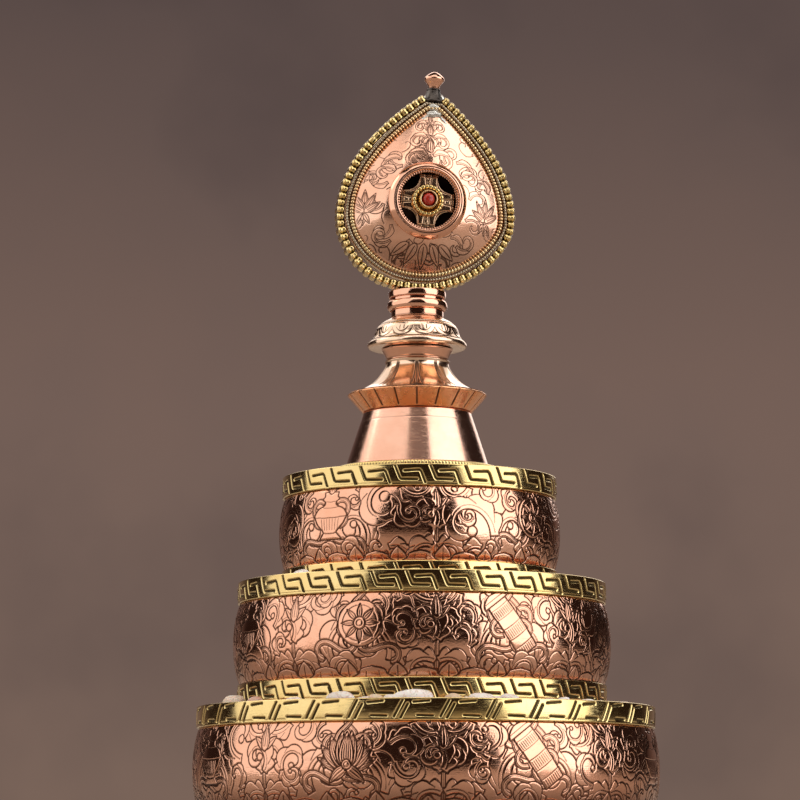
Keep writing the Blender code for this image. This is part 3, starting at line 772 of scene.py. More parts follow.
def hoop(k):
    name, edge_r, bulge_r, low, rim, x = TIERS[k]
    H = float(resample(bulge(edge_r, bulge_r, low + BAND_H - 0.6, rim - BAND_H + 0.6), 0.3)[2][-1])
    W = TAU * bulge_r
    front = 0.75 * W
    # azimuths of the first motif, measured from the front towards +X
    az = (-19.0, 26.4, -38.7)[k]
    u0 = front + az / 360 * W
    if k == 2:
        sh = chase(W, H, 4, ["vase", "wheel", "lotus", "knot"], 31, u0, palm=True)
    elif k == 1:
        sh = chase(W, H, 8, ["banner", "lotus", "wheel", "vase", "knot", "lotus", "vase", "wheel"], 12, u0)
    else:
        sh = chase(W, H, 8, ["lotus", "banner", "vase", "knot", "lotus", "wheel", "banner", "vase"], 7, u0)
    b = Build()
    # the last argument sets how much painted shade darkens the lower part of each hoop wall
    nc, P = hoop_wall(b, edge_r, bulge_r, low, rim, x, sh, 40 + k, 0.22, (0, 0.2, 1, 1),
                      seam=math.radians(-90 + 4.6) if k == 2 else None, painted_low_shade=(0.42, 0.24, 0.05)[k])
    # plain parts of the wall: under the bands, the rims, and the inside
    inner = bulge(edge_r - SHEET_T, bulge_r - SHEET_T, low + BAND_H, rim - BAND_H, n=14)[::-1]
    top = [(edge_r, rim - BAND_H + 0.6), (edge_r, rim - 0.25), (edge_r - 0.2, rim), (edge_r - SHEET_T + 0.2, rim),
           (edge_r - SHEET_T, rim - 0.3)] + [tuple(p) for p in inner] + \
          [(edge_r - SHEET_T, low + 0.2), (edge_r - SHEET_T + 0.2, low), (edge_r - 0.2, low), (edge_r, low + 0.2),
           (edge_r, low + BAND_H - 0.6)]
    Q = spin(top, nc, x)
    Q[0], Q[-1] = P[-1], P[0]
    b.grid(Q, wrap_u=True, rect=(0, 0, 1, 0.19))
    b.make(name + "_engraved_wall", COPPER, name, [name + "_wall"])
    band(name + "_upper_key_band", edge_r, rim - BAND_H, x, name, name + "_upper_band", 15.5 if k == 0 else 12.1, 50 + k, k == 0)
    band(name + "_lower_key_band", edge_r, low, x, name, name + "_lower_band", 12.1, 60 + k)


for k in range(3):
    hoop(k)

def smooth(points, n=8):
    """Catmull-Rom through the points."""
    p = np.asarray(points, float)
    p = np.vstack([2 * p[0] - p[1], p, 2 * p[-1] - p[-2]])
    out = []
    for i in range(1, len(p) - 2):
        for t in np.arange(n) / n:
            a0, a1, a2, a3 = p[i - 1:i + 3]
            out.append(0.5 * (2 * a1 + (a2 - a0) * t + (2 * a0 - 5 * a1 + 4 * a2 - a3) * t * t + (3 * a1 - a0 - 3 * a2 + a3) * t ** 3))
    return np.vstack([out, p[-2]])


def turned(name, nodes, profile, mat, body, x=0.0, step=0.2, nc=None, relief=None, matrix=None, closed=True):
    """A spun piece. The profile goes up the outside and, when closed, back down the inside."""
    prof = np.asarray(profile, float)
    if closed:
        prof = np.vstack([prof, prof[:1]])
    q, nrm, sl = resample(prof, step)
    if closed:
        q, nrm, sl = q[:-1], nrm[:-1], sl[:-1]
    nc = nc or max(48, int(TAU * prof[:, 0].max() / step))
    th = np.arange(nc) / nc * TAU
    P = spin(q, nc, x)
    ink = np.zeros((len(q), nc))
    if relief is not None:
        d, ink = relief(th[None, :], q[:, 0:1], q[:, 1:2])
        d = d + ink * 0
        P[..., 0] -= d * nrm[:, 0:1] * np.cos(th)
        P[..., 1] -= d * nrm[:, 0:1] * np.sin(th)
        P[..., 2] -= d * nrm[:, 1:2]
    b = Build()
    b.grid(P, wrap_u=True, wrap_v=closed, ink=ink)
    return b.make(name, mat, body, nodes, matrix)


def line(d, w):
    return np.exp(-(d / (w * 0.5)) ** 2)


def wrap(a):
    return (a + math.pi) % TAU - math.pi


# ---- base pan ---------------------------------------------------------------------------
def base_pan():
    low, high = 0.6 + BAND_H, BASE_H - 1.6 - BAND_H
    H = float(resample(bulge(BASE_EDGE, BASE_BULGE, low - 0.6, high + 0.6), 0.3)[2][-1])
    sh = chase(TAU * BASE_BULGE, H, 12, ["lotus", "knot", "vase", "wheel"], 77, 0.75 * TAU * BASE_BULGE, H * 0.2)
    b = Build()
    nc, P = hoop_wall(b, BASE_EDGE, BASE_BULGE, low - BAND_H, high + BAND_H, 0.0, sh, 90, 0.32, (0, 0.2, 1, 0.8))
    top = [(BASE_EDGE, high + 0.6), (BASE_EDGE, BASE_H - 1.6), (BASE_EDGE - 0.5, BASE_H - 0.9), (BASE_EDGE - 1.3, BASE_H - 0.3),
           (BASE_EDGE - 2.2, BASE_H)]
    top += [(r, BASE_H) for r in np.linspace(BASE_EDGE - 4, 1.0, 30)]
    Q = spin(top, nc)
    Q[0] = P[-1]
    b.grid(Q, wrap_u=True, rect=(0, 0.82, 1, 1))
    inner = bulge(BASE_EDGE - SHEET_T, BASE_BULGE - SHEET_T, low, high, n=10)
    under = [(1.0, BASE_H - SHEET_T), (BASE_EDGE - 2.6, BASE_H - SHEET_T)] + [tuple(p) for p in inner[::-1]] + \
            [(BASE_EDGE - SHEET_T, 1.2), (BASE_EDGE - 7.0, 1.0), (BASE_EDGE - 7.0, 0.0), (BASE_EDGE - 0.3, 0.0),
             (BASE_EDGE, 0.3), (BASE_EDGE, low - 0.6)]
    Q = spin(under, nc)
    Q[-1] = P[0]
    b.grid(Q, wrap_u=True, rect=(0, 0, 1, 0.18))
    b.make("base_pan_engraved", COPPER, "base", ["base_pan"])
    band("base_upper_key_band", BASE_EDGE, BASE_H - 1.6 - BAND_H, 0.0, "base", "base_upper_band", 12.1, 70)
    band("base_lower_key_band", BASE_EDGE, 0.6, 0.0, "base", "base_lower_band", 12.1, 71)


base_pan()


# ---- pebbles ------------------------------------------------------------------------------
def pebble_mat():
    m = Mat("pebbles")
    tint = m.attr("tint").outputs["Fac"]
    base = m.ramp(tint, [(0.0, srgb(188, 150, 122)), (0.16, srgb(150, 118, 96)), (0.30, srgb(214, 190, 160)),
                         (0.46, srgb(226, 210, 190)), (0.62, srgb(214, 170, 150)), (0.78, srgb(236, 230, 222)),
                         (1.0, srgb(246, 243, 238))])
    cloud = m.ramp(m.noise(160, 5, 0.65), [(0.38, 0.0), (0.70, 0.75)])
    base = m.mix(cloud, base, m.mix(0.35, base, srgb(188, 150, 122)))
    veins = m.ramp(m.noise(90, 4, 0.7, None, 2.2), [(0.47, 0.0), (0.50, 0.8), (0.53, 0.0)])
    base = m.mix(veins, base, srgb(196, 168, 146))
    specks = m.ramp(m.noise(1400, 2, 0.6), [(0.66, 0.0), (0.74, 0.6)])
    base = m.mix(specks, base, srgb(96, 80, 68))
    # ink darkens towards a dark brown; on the packed beds it is painted shade in the gaps between the stones
    ink = m.attr("ink").outputs["Fac"]
    base = m.mix(ink, base, srgb(58, 44, 36))
    m.link(base, m.b.inputs["Base Color"])
    m.link(m.ramp(m.noise(300, 3, 0.6), [(0.3, 0.28), (0.7, 0.55)]), m.b.inputs["Roughness"])
    m.set(Subsurface_Weight=0.12, Subsurface_Scale=0.002)
    m.link(m.bump(m.noise(700, 4, 0.6), 0.35, 0.0002), m.b.inputs["Normal"])
    return m.m


PEBBLE = pebble_mat()


def packed(u, v, cell, seed, nu):
    """Height 0-1, gap 0-1 and a tone of packed stones over (u, v); it repeats every nu cells in u."""
    r = np.random.default_rng(seed)
    nv = int(v.max() / cell) + 4
    ox, oy = r.uniform(0.15, 0.85, (nv, nu)), r.uniform(0.15, 0.85, (nv, nu))
    tone, ang, asp = r.random((nv, nu)), r.uniform(0, math.pi, (nv, nu)), r.uniform(0.72, 1.0, (nv, nu))
    ui, vi = u / cell, v / cell + 1
    iu, iv = np.floor(ui).astype(int), np.floor(vi).astype(int)
    best = np.full(ui.shape, 9.0)
    second = best.copy()
    tn = np.zeros(ui.shape)
    for a in (-1, 0, 1):
        for c in (-1, 0, 1):
            I, J = (iu + a) % nu, np.clip(iv + c, 0, nv - 1)
            dx, dy = iu + a + ox[J, I] - ui, iv + c + oy[J, I] - vi
            ca, sa = np.cos(ang[J, I]), np.sin(ang[J, I])
            p, q = dx * ca + dy * sa, (-dx * sa + dy * ca) / asp[J, I]
            d = np.sqrt(p * p + q * q)
            new = d < best
            second = np.where(new, best, np.minimum(second, d))
            tn = np.where(new, tone[J, I], tn)
            best = np.where(new, d, best)
    gap = np.clip(1 - (second - best) / 0.22, 0, 1)
    h = np.sqrt(np.clip(1 - (best / 0.85) ** 2, 0, 1)) * (1 - gap ** 2)
    return h, gap, tn


def bed(name, node, fill_r, x, top, floor_z, plateau, ledge_drop, seed, fine=False):
    """The filling: packed stones down its side, a low ledge, and the flat middle the next tier stands on."""
    b = Build()
    nc = 720
    nu = int(TAU * fill_r / 7.5)
    th = np.arange(nc) / nc * TAU
    prof = [(fill_r, z) for z in np.arange(floor_z + GAP, top - ledge_drop - 2.5, 0.9)]
    prof += [(fill_r - 0.6, top - ledge_drop - 1.6), (fill_r - 1.8, top - ledge_drop - 0.7)]
    prof += [(r, top - ledge_drop) for r in np.arange(fill_r - 2.6, plateau + 1.2, -0.7)]
    n_side = len(prof)
    prof += [(plateau + 0.5, top - ledge_drop * 0.6), (plateau, top - 0.8), (plateau - 0.6, top - 0.05)]
    prof += [(r, top) for r in np.arange(plateau - 1.4, 1.0, -0.9 if fine else -2.2)] + [(0.6, top)]
    q, nrm, sl = np.array(prof), None, None
    sl = np.concatenate([[0], np.cumsum(np.hypot(*np.diff(q, axis=0).T))])
    d = np.gradient(q, axis=0)
    d /= np.hypot(d[:, 0], d[:, 1])[:, None]
    h, gap, tn = packed(th[None, :] / TAU * nu * 7.5 + 0 * sl[:, None], sl[:, None] + 0 * th[None, :], 7.5, seed, nu)
    # across the flat middle the stones lie in rows of x and y, not in rings
    X, Y = q[n_side + 2:, 0:1] * np.cos(th) + 120, q[n_side + 2:, 0:1] * np.sin(th) + 120
    h[n_side + 2:], gap[n_side + 2:], tn[n_side + 2:] = packed(X, Y, 7.5, seed + 9, 64)
    fade = np.ones(len(q))
    fade[n_side:] = np.linspace(1, 0.3 if fine else 0.02, 3).tolist() + [0.5 if fine else 0.06] * (len(q) - n_side - 3)
    dd = (-3.0 * (1 - h)) * fade[:, None]
    P = spin(q, nc, x)
    P[..., 0] += dd * d[:, 1:2] * np.cos(th)
    P[..., 1] += dd * d[:, 1:2] * np.sin(th)
    P[..., 2] += dd * -d[:, 0:1]
    P[..., 2] = np.maximum(P[..., 2], floor_z + GAP)
    # ink here is painted shade in the gaps between the stones
    b.grid(P, wrap_u=True, rect=(0, 0.15, 1, 1), ink=gap * 0.85 * np.clip(fade[:, None], 0.4, 1), tint=tn)
    Q = np.stack([P[0] * np.array([k, k, 1]) + np.array([x * (1 - k), 0, 0]) for k in (0.01, 0.5, 1.0)])
    Q[..., 2] = floor_z + GAP
    Q[-1] = P[0]
    b.grid(Q, wrap_u=True, rect=(0, 0, 1, 0.14))
    b.make(name, PEBBLE, "base", [node])


def ico(level=3):
    import bmesh
    bm = bmesh.new()
    bmesh.ops.create_icosphere(bm, subdivisions=level, radius=1.0)
    v = np.array([p.co[:] for p in bm.verts])
    f = np.array([[q.index for q in p.verts] for p in bm.faces])
    bm.free()
    return v, f


ICO_V, ICO_F = ico(3)


def stones(name, specs, body="base"):
    """specs: (x, y, z, half length, half width, half height, turn, tilt, tone, seed)"""
    b = Build()
    n = len(specs)
    cells = int(math.ceil(math.sqrt(n)))
    for k, (x, y, z, a, c, h, turn, tilt, tone, seed) in enumerate(specs):
        r = np.random.default_rng(seed)
        v = ICO_V.copy()
        # rounded, slightly squared river stone
        w = np.sign(v) * np.abs(v) ** r.uniform(0.80, 0.98)
        bump = np.zeros(len(v))
        for _ in range(7):
            dirn = r.normal(size=3)
            dirn /= np.linalg.norm(dirn)
            bump += r.uniform(-0.10, 0.10) * np.cos(v @ dirn * r.uniform(1.5, 4.5) + r.uniform(0, TAU))
        w = w * (1 + bump)[:, None]
        for _ in range(2):
            dirn = r.normal(size=3)
            dirn /= np.linalg.norm(dirn)
            t = w @ dirn
            cut = r.uniform(0.70, 0.88)
            w = w - np.clip(t - cut, 0, None)[:, None] * dirn * 0.85
        w = w / np.abs(w).max(0) * np.array([a, c, h])
        M = np.array(Matrix.Rotation(turn, 3, "Z") @ Matrix.Rotation(tilt, 3, "X") @ Matrix.Rotation(r.uniform(-0.25, 0.25), 3, "Y"))
        w = w @ M.T + np.array([x, y, z])
        ci, cj = k % cells, k // cells
        lon = np.arctan2(ICO_V[:, 1], ICO_V[:, 0]) / TAU + 0.5
        lat = ICO_V[:, 2] * 0.5 + 0.5
        fl = lon[ICO_F]
        fl = np.where((fl.max(1, keepdims=True) - fl > 0.5), fl + 1, fl)
        fl = np.clip(fl, 0, 1.25) / 1.25
        uv = np.stack([(ci + 0.04 + 0.92 * fl) / cells, (cj + 0.04 + 0.92 * lat[ICO_F]) / cells], -1)
        b.faces(w, ICO_F, uv, None, np.full(len(w), tone))
    return b.make(name, PEBBLE, body, ())


def ledge(seed, x, inner, outer, z, count, high, special=()):
    """Loose stones round a ledge, none through the hoop or the tier inside."""
    r = np.random.default_rng(seed)
    out, taken = [], []
    for az, rad, a, c, h, up, tone, turn in special:
        t = FRONT + math.radians(az)
        px, py = x + rad * math.cos(t), rad * math.sin(t)
        out.append((px, py, z + up, a, c, h, t + math.pi / 2 + turn, 0.0, tone, seed + len(out)))
        taken.append((px, py, a))
    tries = 0
    while len(out) < count and tries < count * 60:
        tries += 1
        a = r.uniform(3.4, 5.8)
        c, h = a * r.uniform(0.62, 0.85), r.uniform(2.2, 3.4)
        c = min(c, (outer - inner) / 2 - 0.4)
        t = r.uniform(0, TAU)
        rad = r.uniform(inner + c + 0.4, max(inner + c + 0.5, outer - c - 0.4))
        px, py = x + rad * math.cos(t), rad * math.sin(t)
        if any(math.hypot(px - qx, py - qy) < (a + qa) * 0.66 for qx, qy, qa in taken):
            continue
        taken.append((px, py, a))
        up = r.uniform(0.0, high)
        # long side lies along the ledge, short enough to clear the curved wall
        sag = a * a / (2 * rad)
        if rad + c + sag > outer:
            rad -= rad + c + sag - outer
            px, py = x + rad * math.cos(t), rad * math.sin(t)
        out.append((px, py, z + up, a, c, h, t + math.pi / 2 + r.uniform(-0.2, 0.2), r.uniform(-0.25, 0.25),
                    float(r.choice([0.05, 0.2, 0.35, 0.5, 0.62, 0.8, 0.95, 1.0, 0.75])), seed * 100 + len(out)))
    return out


bed("pebble_bed_large_packed", "pebble_bed_large", 78.3, 2.0, 84.4, 40.0, 66.9, 4.6, 301)
bed("pebble_bed_middle_packed", "pebble_bed_middle", 62.7, 0.6, 125.0, 84.4, 50.6, 4.4, 302)
bed("pebble_bed_small_packed", "pebble_bed_small", 46.1, -0.2, 166.0, 125.0, 31.6, 4.4, 303, True)

# (azimuth from the front, radius, half length, half width, half height, rise, tone, turn)
stones("loose_pebbles_large", ledge(11, 2.0, 67.2, 78.2, 81.6, 110, 1.6, [
    (-66, 73.4, 5.2, 3.6, 3.6, 2.6, 0.46, 0.1), (-52, 74.2, 3.8, 3.0, 2.8, 2.0, 0.62, 0.0),
    (-37, 74.0, 4.6, 3.2, 2.9, 1.6, 0.80, 0.05), (-23, 73.8, 5.6, 3.3, 3.3, 2.2, 0.78, -0.05),
    (-13.5, 74.4, 3.0, 2.6, 2.6, 2.2, 0.35, 0.0), (-3.8, 73.9, 6.9, 3.6, 3.3, 2.9, 1.0, 0.03),
    (6.6, 74.2, 3.6, 3.0, 2.8, 2.0, 0.30, 0.0), (14, 74.0, 4.6, 3.2, 3.0, 2.4, 0.88, 0.0),
    (22, 74.0, 3.8, 3.0, 2.8, 1.9, 0.80, 0.0), (33, 74.0, 4.4, 3.0, 2.6, 0.9, 0.5, 0.0)]))
stones("loose_pebbles_middle", ledge(12, 0.6, 51.0, 62.4, 122.4, 84, 1.6, [
    (-84, 58.6, 4.0, 2.8, 3.0, 4.6, 0.46, 0.0), (-71, 58.6, 3.6, 2.8, 3.0, 3.6, 0.8, 0.0),
    (-45, 58.2, 4.4, 3.0, 3.2, 4.6, 0.95, 0.0), (-36, 58.4, 3.4, 2.8, 2.8, 3.0, 0.6, 0.0)]))
stones("loose_pebbles_small", ledge(13, -0.2, 32.2, 45.9, 162.6, 70, 1.6))


# ---- pedestal -----------------------------------------------------------------------------
FX, FOOT = -1.0, 166.3


def r_cone(th, r, z):
    d = wobble(th, z, 501, 0.05, (3, 14), 14, 20.0) + 0.004 * np.sin(z * 9.0) * np.sin(z * 2.3 + 1)
    g = line(z - 186.6, 0.35) + line(z - 168.6, 0.3) * 0.6
    sp = np.random.default_rng(5).random(np.broadcast(th, z).shape)
    edge = np.clip((np.abs(wrap(th - FRONT)) - 0.85) / 0.35, 0, 1) * np.clip((2.4 - np.abs(wrap(th - FRONT))) / 0.3, 0, 1)
    d = d - 0.05 * g + 0.022 * (sp - 0.5) * edge
    return d, 0.3 * g + 0 * th


turned("foot_cone_spun", ["foot_cone"],
       [(27.2, FOOT), (27.1, FOOT + 0.3), (19.4, 190.0), (19.2, 190.2), (18.4, 190.2), (18.2, 190.0), (26.0, FOOT)],
       COPPER_SPUN, "ornament", FX, 0.28, relief=r_cone)


def r_beads(n, depth, centre_r, centre_z):
    def f(th, r, z):
        k = np.abs(np.cos(th * n / 2))
        out = np.clip((r - centre_r) * 0 + 1, 0, 1)
        return -depth * (1 - np.sqrt(np.clip(1 - (1 - k) ** 2, 0, 1))) * out, np.clip(0.9 - 2.2 * k, 0, 1) * out
    return f


ring = [(28.8 + 1.28 * math.cos(a), FOOT + 2.45 + 1.35 * math.sin(a)) for a in np.linspace(-math.pi / 2, 1.5 * math.pi, 24, endpoint=False)]
turned("foot_beaded_wire", ["foot_bead_wire"], ring, BRASS, "ornament", FX, 0.4, 1500, r_beads(150, 0.5, 28.8, 0))


def r_skirt(th, r, z):
    n = 19
    u = (th * n / TAU + 0.28) % 1 - 0.5
    t = np.clip((z - 190.5) / 6.4, 0, 1)
    slant = u + 0.0 * z
    g = line(slant * TAU / n * r, 0.62) * np.clip((196.6 - z) / 0.5, 0, 1) * np.clip((z - 190.7) / 0.3, 0, 1)
    outer = (r > 18.9 + (z - 190.5) * 0.86)
    d = (-0.30 * g + 0.16 * (1 - (2 * np.abs(u) - 1) ** 2 * 0 - np.exp(-(u * 5) ** 2))) * outer
    rim = 0.22 * np.cos(th * n + 0.28 * TAU) * np.clip((z - 195.6) / 1.0, 0, 1)
    return d * (z < 196.7) - 0 * t + 0.0 * rim, np.clip(g * 0.95, 0, 1) * outer


turned("lotus_skirt_petals", ["lotus_skirt"],
       [(19.7, 190.5), (24.75, 196.2), (24.9, 196.5), (24.7, 196.85), (24.2, 196.95), (23.4, 196.8), (18.5, 190.9), (18.5, 190.5)],
       COPPER_MATT, "ornament", FX, 0.2, relief=r_skirt)


def r_waist(th, r, z):
    n = 10
    t = np.clip((208.2 - z) / 10.5, 0, 1)
    u = wrap((th - FRONT) * 1.0 + 0.33)
    k = (u * n / TAU) % 1 - 0.5
    g = 0
    for j, off in enumerate((-1, 0, 1)):
        c = off * (0.055 + 0.12 * t ** 1.5)
        g = np.maximum(g, line((k - c) * TAU / n * r, 0.50))
    g = g * np.clip((208.0 - z) / 0.6, 0, 1) * np.clip((z - 197.9) / 1.2, 0, 1)
    lobe = 0.04 * np.cos(k * TAU) * np.sin(math.pi * t)
    outer = r > np.interp(z, [197.2, 199, 201.8, 205, 207.8, 209], [23.2, 17.6, 13.9, 11.6, 10.8, 11.1])
    return (-0.22 * g + lobe) * outer, np.clip(g, 0, 1) * outer


WAIST_OUT = smooth([(24.3, 197.2), (21.0, 198.1), (18.2, 199.5), (16.1, 201.0), (14.4, 202.7), (12.9, 204.6), (11.8, 206.4), (11.4, 207.8), (11.7, 209.0)])
turned("lotus_waist_fluted", ["lotus_waist"],
       np.vstack([WAIST_OUT, smooth([(10.5, 209.0), (10.3, 207.8), (11.1, 205.0), (13.4, 201.8), (17.0, 199.0), (22.2, 197.2)], 4)]),
       COPPER_PALE, "ornament", FX, 0.2, relief=r_waist)


def r_cup(th, r, z):
    g = line(z - 209.9, 0.3) * 0.7
    return -0.06 * g + wobble(th, z, 505, 0.03), 0.6 * g + 0 * th


turned("waist_cup_turned", ["waist_cup"],
       [(10.9, 209.3), (10.9, 209.6), (12.5, 212.9), (12.9, 213.2), (11.4, 213.2), (9.7, 209.5), (9.6, 209.3)],
       COPPER, "ornament", FX, 0.2, relief=r_cup)


def r_upper(th, r, z):
    n = 12
    u = (th * n / TAU + 0.2) % 1 - 0.5
    outer = (r > np.interp(z, [213.5, 214.4, 215.4, 218.6, 221.3, 223.4, 224.6], [12.0, 16.6, 16.7, 14.8, 13.1, 9.4, 9.2])) & (z > 214.2)
    t = np.clip((z - 216.6) / 5.2, 0, 1.3)
    arch = np.sqrt(np.clip(1 - (2 * u) ** 2, 0, 1))
    g1 = line((t - 0.62 * (1 - arch) - 0.05) * 4.6, 0.34) * (t < 0.8)
    arch2 = np.sqrt(np.clip(1 - (2.9 * u) ** 2, 0, 1))
    g2 = line((t - 0.62 * (1 - arch2) - 0.30) * 4.6, 0.26) * (np.abs(u) < 0.30) * (t < 0.72)
    vein = line((np.abs(u) - 0.10) * TAU / n * r, 0.3) * (t > 0.42) * (t < 0.74)
    fringe = line(np.abs((th * n * 3 / TAU) % 1 - 0.5) * TAU / n / 3 * r, 0.34) * (t > 0.86) * (t < 1.04)
    ringl = line(z - 222.2, 0.34) + line(z - 216.5, 0.4)
    g = np.clip(np.maximum.reduce([g1, g2 + 0 * t, vein * 0.9, fringe * 0.25, ringl * 0.8 + 0 * th]), 0, 1) * outer
    puff = 0.07 * np.cos(u * TAU) * np.exp(-((t - 0.45) / 0.45) ** 2) * outer
    lip = 0.10 * np.sin(th * 6 + 1) * np.exp(-((z - 214.8) / 0.9) ** 2) * outer
    return -0.18 * g + puff + lip, g


UP_OUT = smooth([(12.9, 213.5), (15.4, 213.55), (17.3, 213.75), (17.9, 214.6), (17.6, 215.7), (16.6, 216.6), (15.7, 217.9), (15.3, 219.2),
                 (14.7, 220.8), (13.7, 222.1), (12.2, 223.3), (10.6, 224.1), (9.8, 224.6)])
turned("upper_lotus_petals", ["upper_lotus"],
       np.vstack([UP_OUT, [(8.8, 224.6), (8.8, 223.4), (12.6, 221.3), (14.2, 218.6), (16.0, 215.4), (12.0, 214.3)]]),
       COPPER_PALE, "ornament", FX, 0.19, relief=r_upper)


def r_neck(th, r, z):
    return wobble(th, z, 507, 0.06, (2, 9), 10, 4.0), 0.5 * line(z - 225.3, 0.5) * (r > 9) + 0 * th


turned("neck_tube_turned", ["neck_tube"],
       [(9.5, 224.9), (9.5, 234.3), (9.3, 234.5), (8.5, 234.5), (8.4, 234.3), (8.4, 224.9)],
       COPPER, "ornament", FX, 0.25, relief=r_neck)
turned("neck_bead_rolled", ["neck_bead"],
       smooth([(9.8, 227.4), (10.5, 227.8), (10.85, 228.7), (10.9, 229.4), (10.7, 230.3), (10.3, 230.9), (9.8, 231.0)], 5),
       COPPER, "ornament", FX, 0.2, relief=lambda th, r, z: (wobble(th, z, 508, 0.05, (2, 9), 10, 4.0) * (r > 10), 0 * th + 0 * z))
turned("neck_collar_turned", ["neck_collar"],
       smooth([(9.8, 232.0), (10.25, 232.1), (10.4, 232.9), (10.4, 233.8), (10.25, 234.5), (9.8, 234.6)], 5),
       COPPER, "ornament", FX, 0.2)


# ---- jewel ---------------------------------------------------------------------------------
PIVOT = Matrix.Translation((-0.001, 0, 0.2175)) @ Matrix.Rotation(math.radians(3.8), 4, "Y") @ Matrix.Rotation(math.radians(8.0), 4, "Z")
FACE = {"front": PIVOT @ Matrix.Rotation(math.radians(90), 4, "X")}
FACE["back"] = FACE["front"] @ Matrix.Rotation(math.pi, 4, "Y")
HALF_W, MID, BELOW, ABOVE, PINCH, SKEW = 33.0, 44.5, 27.4, 49.0, 1.0, 0.075
MED_UP, MED_X, APEX = 48.5, -1.2, 87.0
FLANGE, DOME, WINDOW = 2.3, 9.5, 10.6
SEAT = FLANGE + DOME


def teardrop(inset, n=640):
    """Outline moved inwards, anticlockwise from the bottom."""
    half = []
    for i in range(n // 2 + 1):
        t = 2 * i / n
        if t < 0.5:
            a = -math.pi / 2 + math.pi * t
            x, y = HALF_W * math.cos(a), BELOW * math.sin(a)
            x -= PINCH * math.sin(2 * a) ** 2
        else:
            y = ABOVE * (2 * t - 1)
            x = HALF_W * (1 - (y / ABOVE) ** 2)
        half.append((x, y))
    whole = half + [(-x, y) for x, y in reversed(half[1:-1])]
    whole = [(x - SKEW * y * y / (3.0 - y) if y < 0 else x, y) for x, y in whole]
    apex = n // 2
    out = []
    for i, (x, y) in enumerate(whole):
        (x0, y0), (x1, y1) = whole[i - 1], whole[(i + 1) % len(whole)]
        if i == apex:
            d = math.hypot(whole[i - 1][0] - x, whole[i - 1][1] - y)
            out.append((x, y - inset * d / abs(x1 - x)))
            continue
        tx, ty = x1 - x0, y1 - y0
        d = math.hypot(tx, ty)
        out.append((x - inset * ty / d, y + inset * tx / d))
    top = out[apex][1]
    out = [(max(0.0, x) if 0 < i < apex and y > 0 else min(0.0, x) if i > apex and y > 0 else x, min(y, top) if y > 0 else y)
           for i, (x, y) in enumerate(out)]
    return np.array([(x, MID + y) for x, y in out])


def outline(inset, angles, flip=1.0, stand=False):
    """Where rays at these angles from the medallion's height cross the outline."""
    w = teardrop(inset)
    nx = np.roll(w, -1, 0)
    e = nx - w
    dx, dy = np.cos(angles) * flip, np.sin(angles)
    det = e[None, :, 0] * dy[:, None] - e[None, :, 1] * dx[:, None]
    det = np.where(np.abs(det) < 1e-12, 1e-12, det)
    px, py = -w[None, :, 0], MED_UP - w[None, :, 1]
    s = (px * dy[:, None] - py * dx[:, None]) / det
    r = (px * e[None, :, 1] - py * e[None, :, 0]) / det
    r = np.where((s >= -1e-6) & (s <= 1 + 1e-6) & (r > 0), r, -1).max(1)
    if stand:
        r = r + 1.1 * np.exp(-((np.degrees(angles) % 360 - 232) / 24) ** 2)
    y = MED_UP + dy * r
    if inset > 3:
        y = np.minimum(y, APEX + 3.3 - inset)
    return np.stack([flip * dx * r, y], -1)


def even_angles(n, inset=3.0):
    """Angles that give points evenly spaced along the outline, from the apex round."""
    a = np.linspace(math.pi / 2, math.pi / 2 + TAU, 2400)
    p = outline(inset, a)
    s = np.concatenate([[0], np.cumsum(np.hypot(*np.diff(p, axis=0).T))])
    return np.interp(np.linspace(0, s[-1], n, endpoint=False), s, a), s[-1]


class Plane(Sheet):
    """A flat sheet that doesn't repeat, with its own origin."""

    def __init__(self, x0, y0, W, H, px=0.12):
        super().__init__(W, H, px)
        self.o = np.array([x0, y0])

    def at(self, field, x, y):
        u = np.clip((x - self.o[0]) / self.pu - 0.5, 0, self.nu - 1.01)
        v = np.clip((y - self.o[1]) / self.pv - 0.5, 0, self.nv - 1.01)
        i, j = np.floor(u).astype(int), np.floor(v).astype(int)
        fu, fv = u - i, v - j
        return (field[j, i] * (1 - fu) + field[j, i + 1] * fu) * (1 - fv) + (field[j + 1, i] * (1 - fu) + field[j + 1, i + 1] * fu) * fv


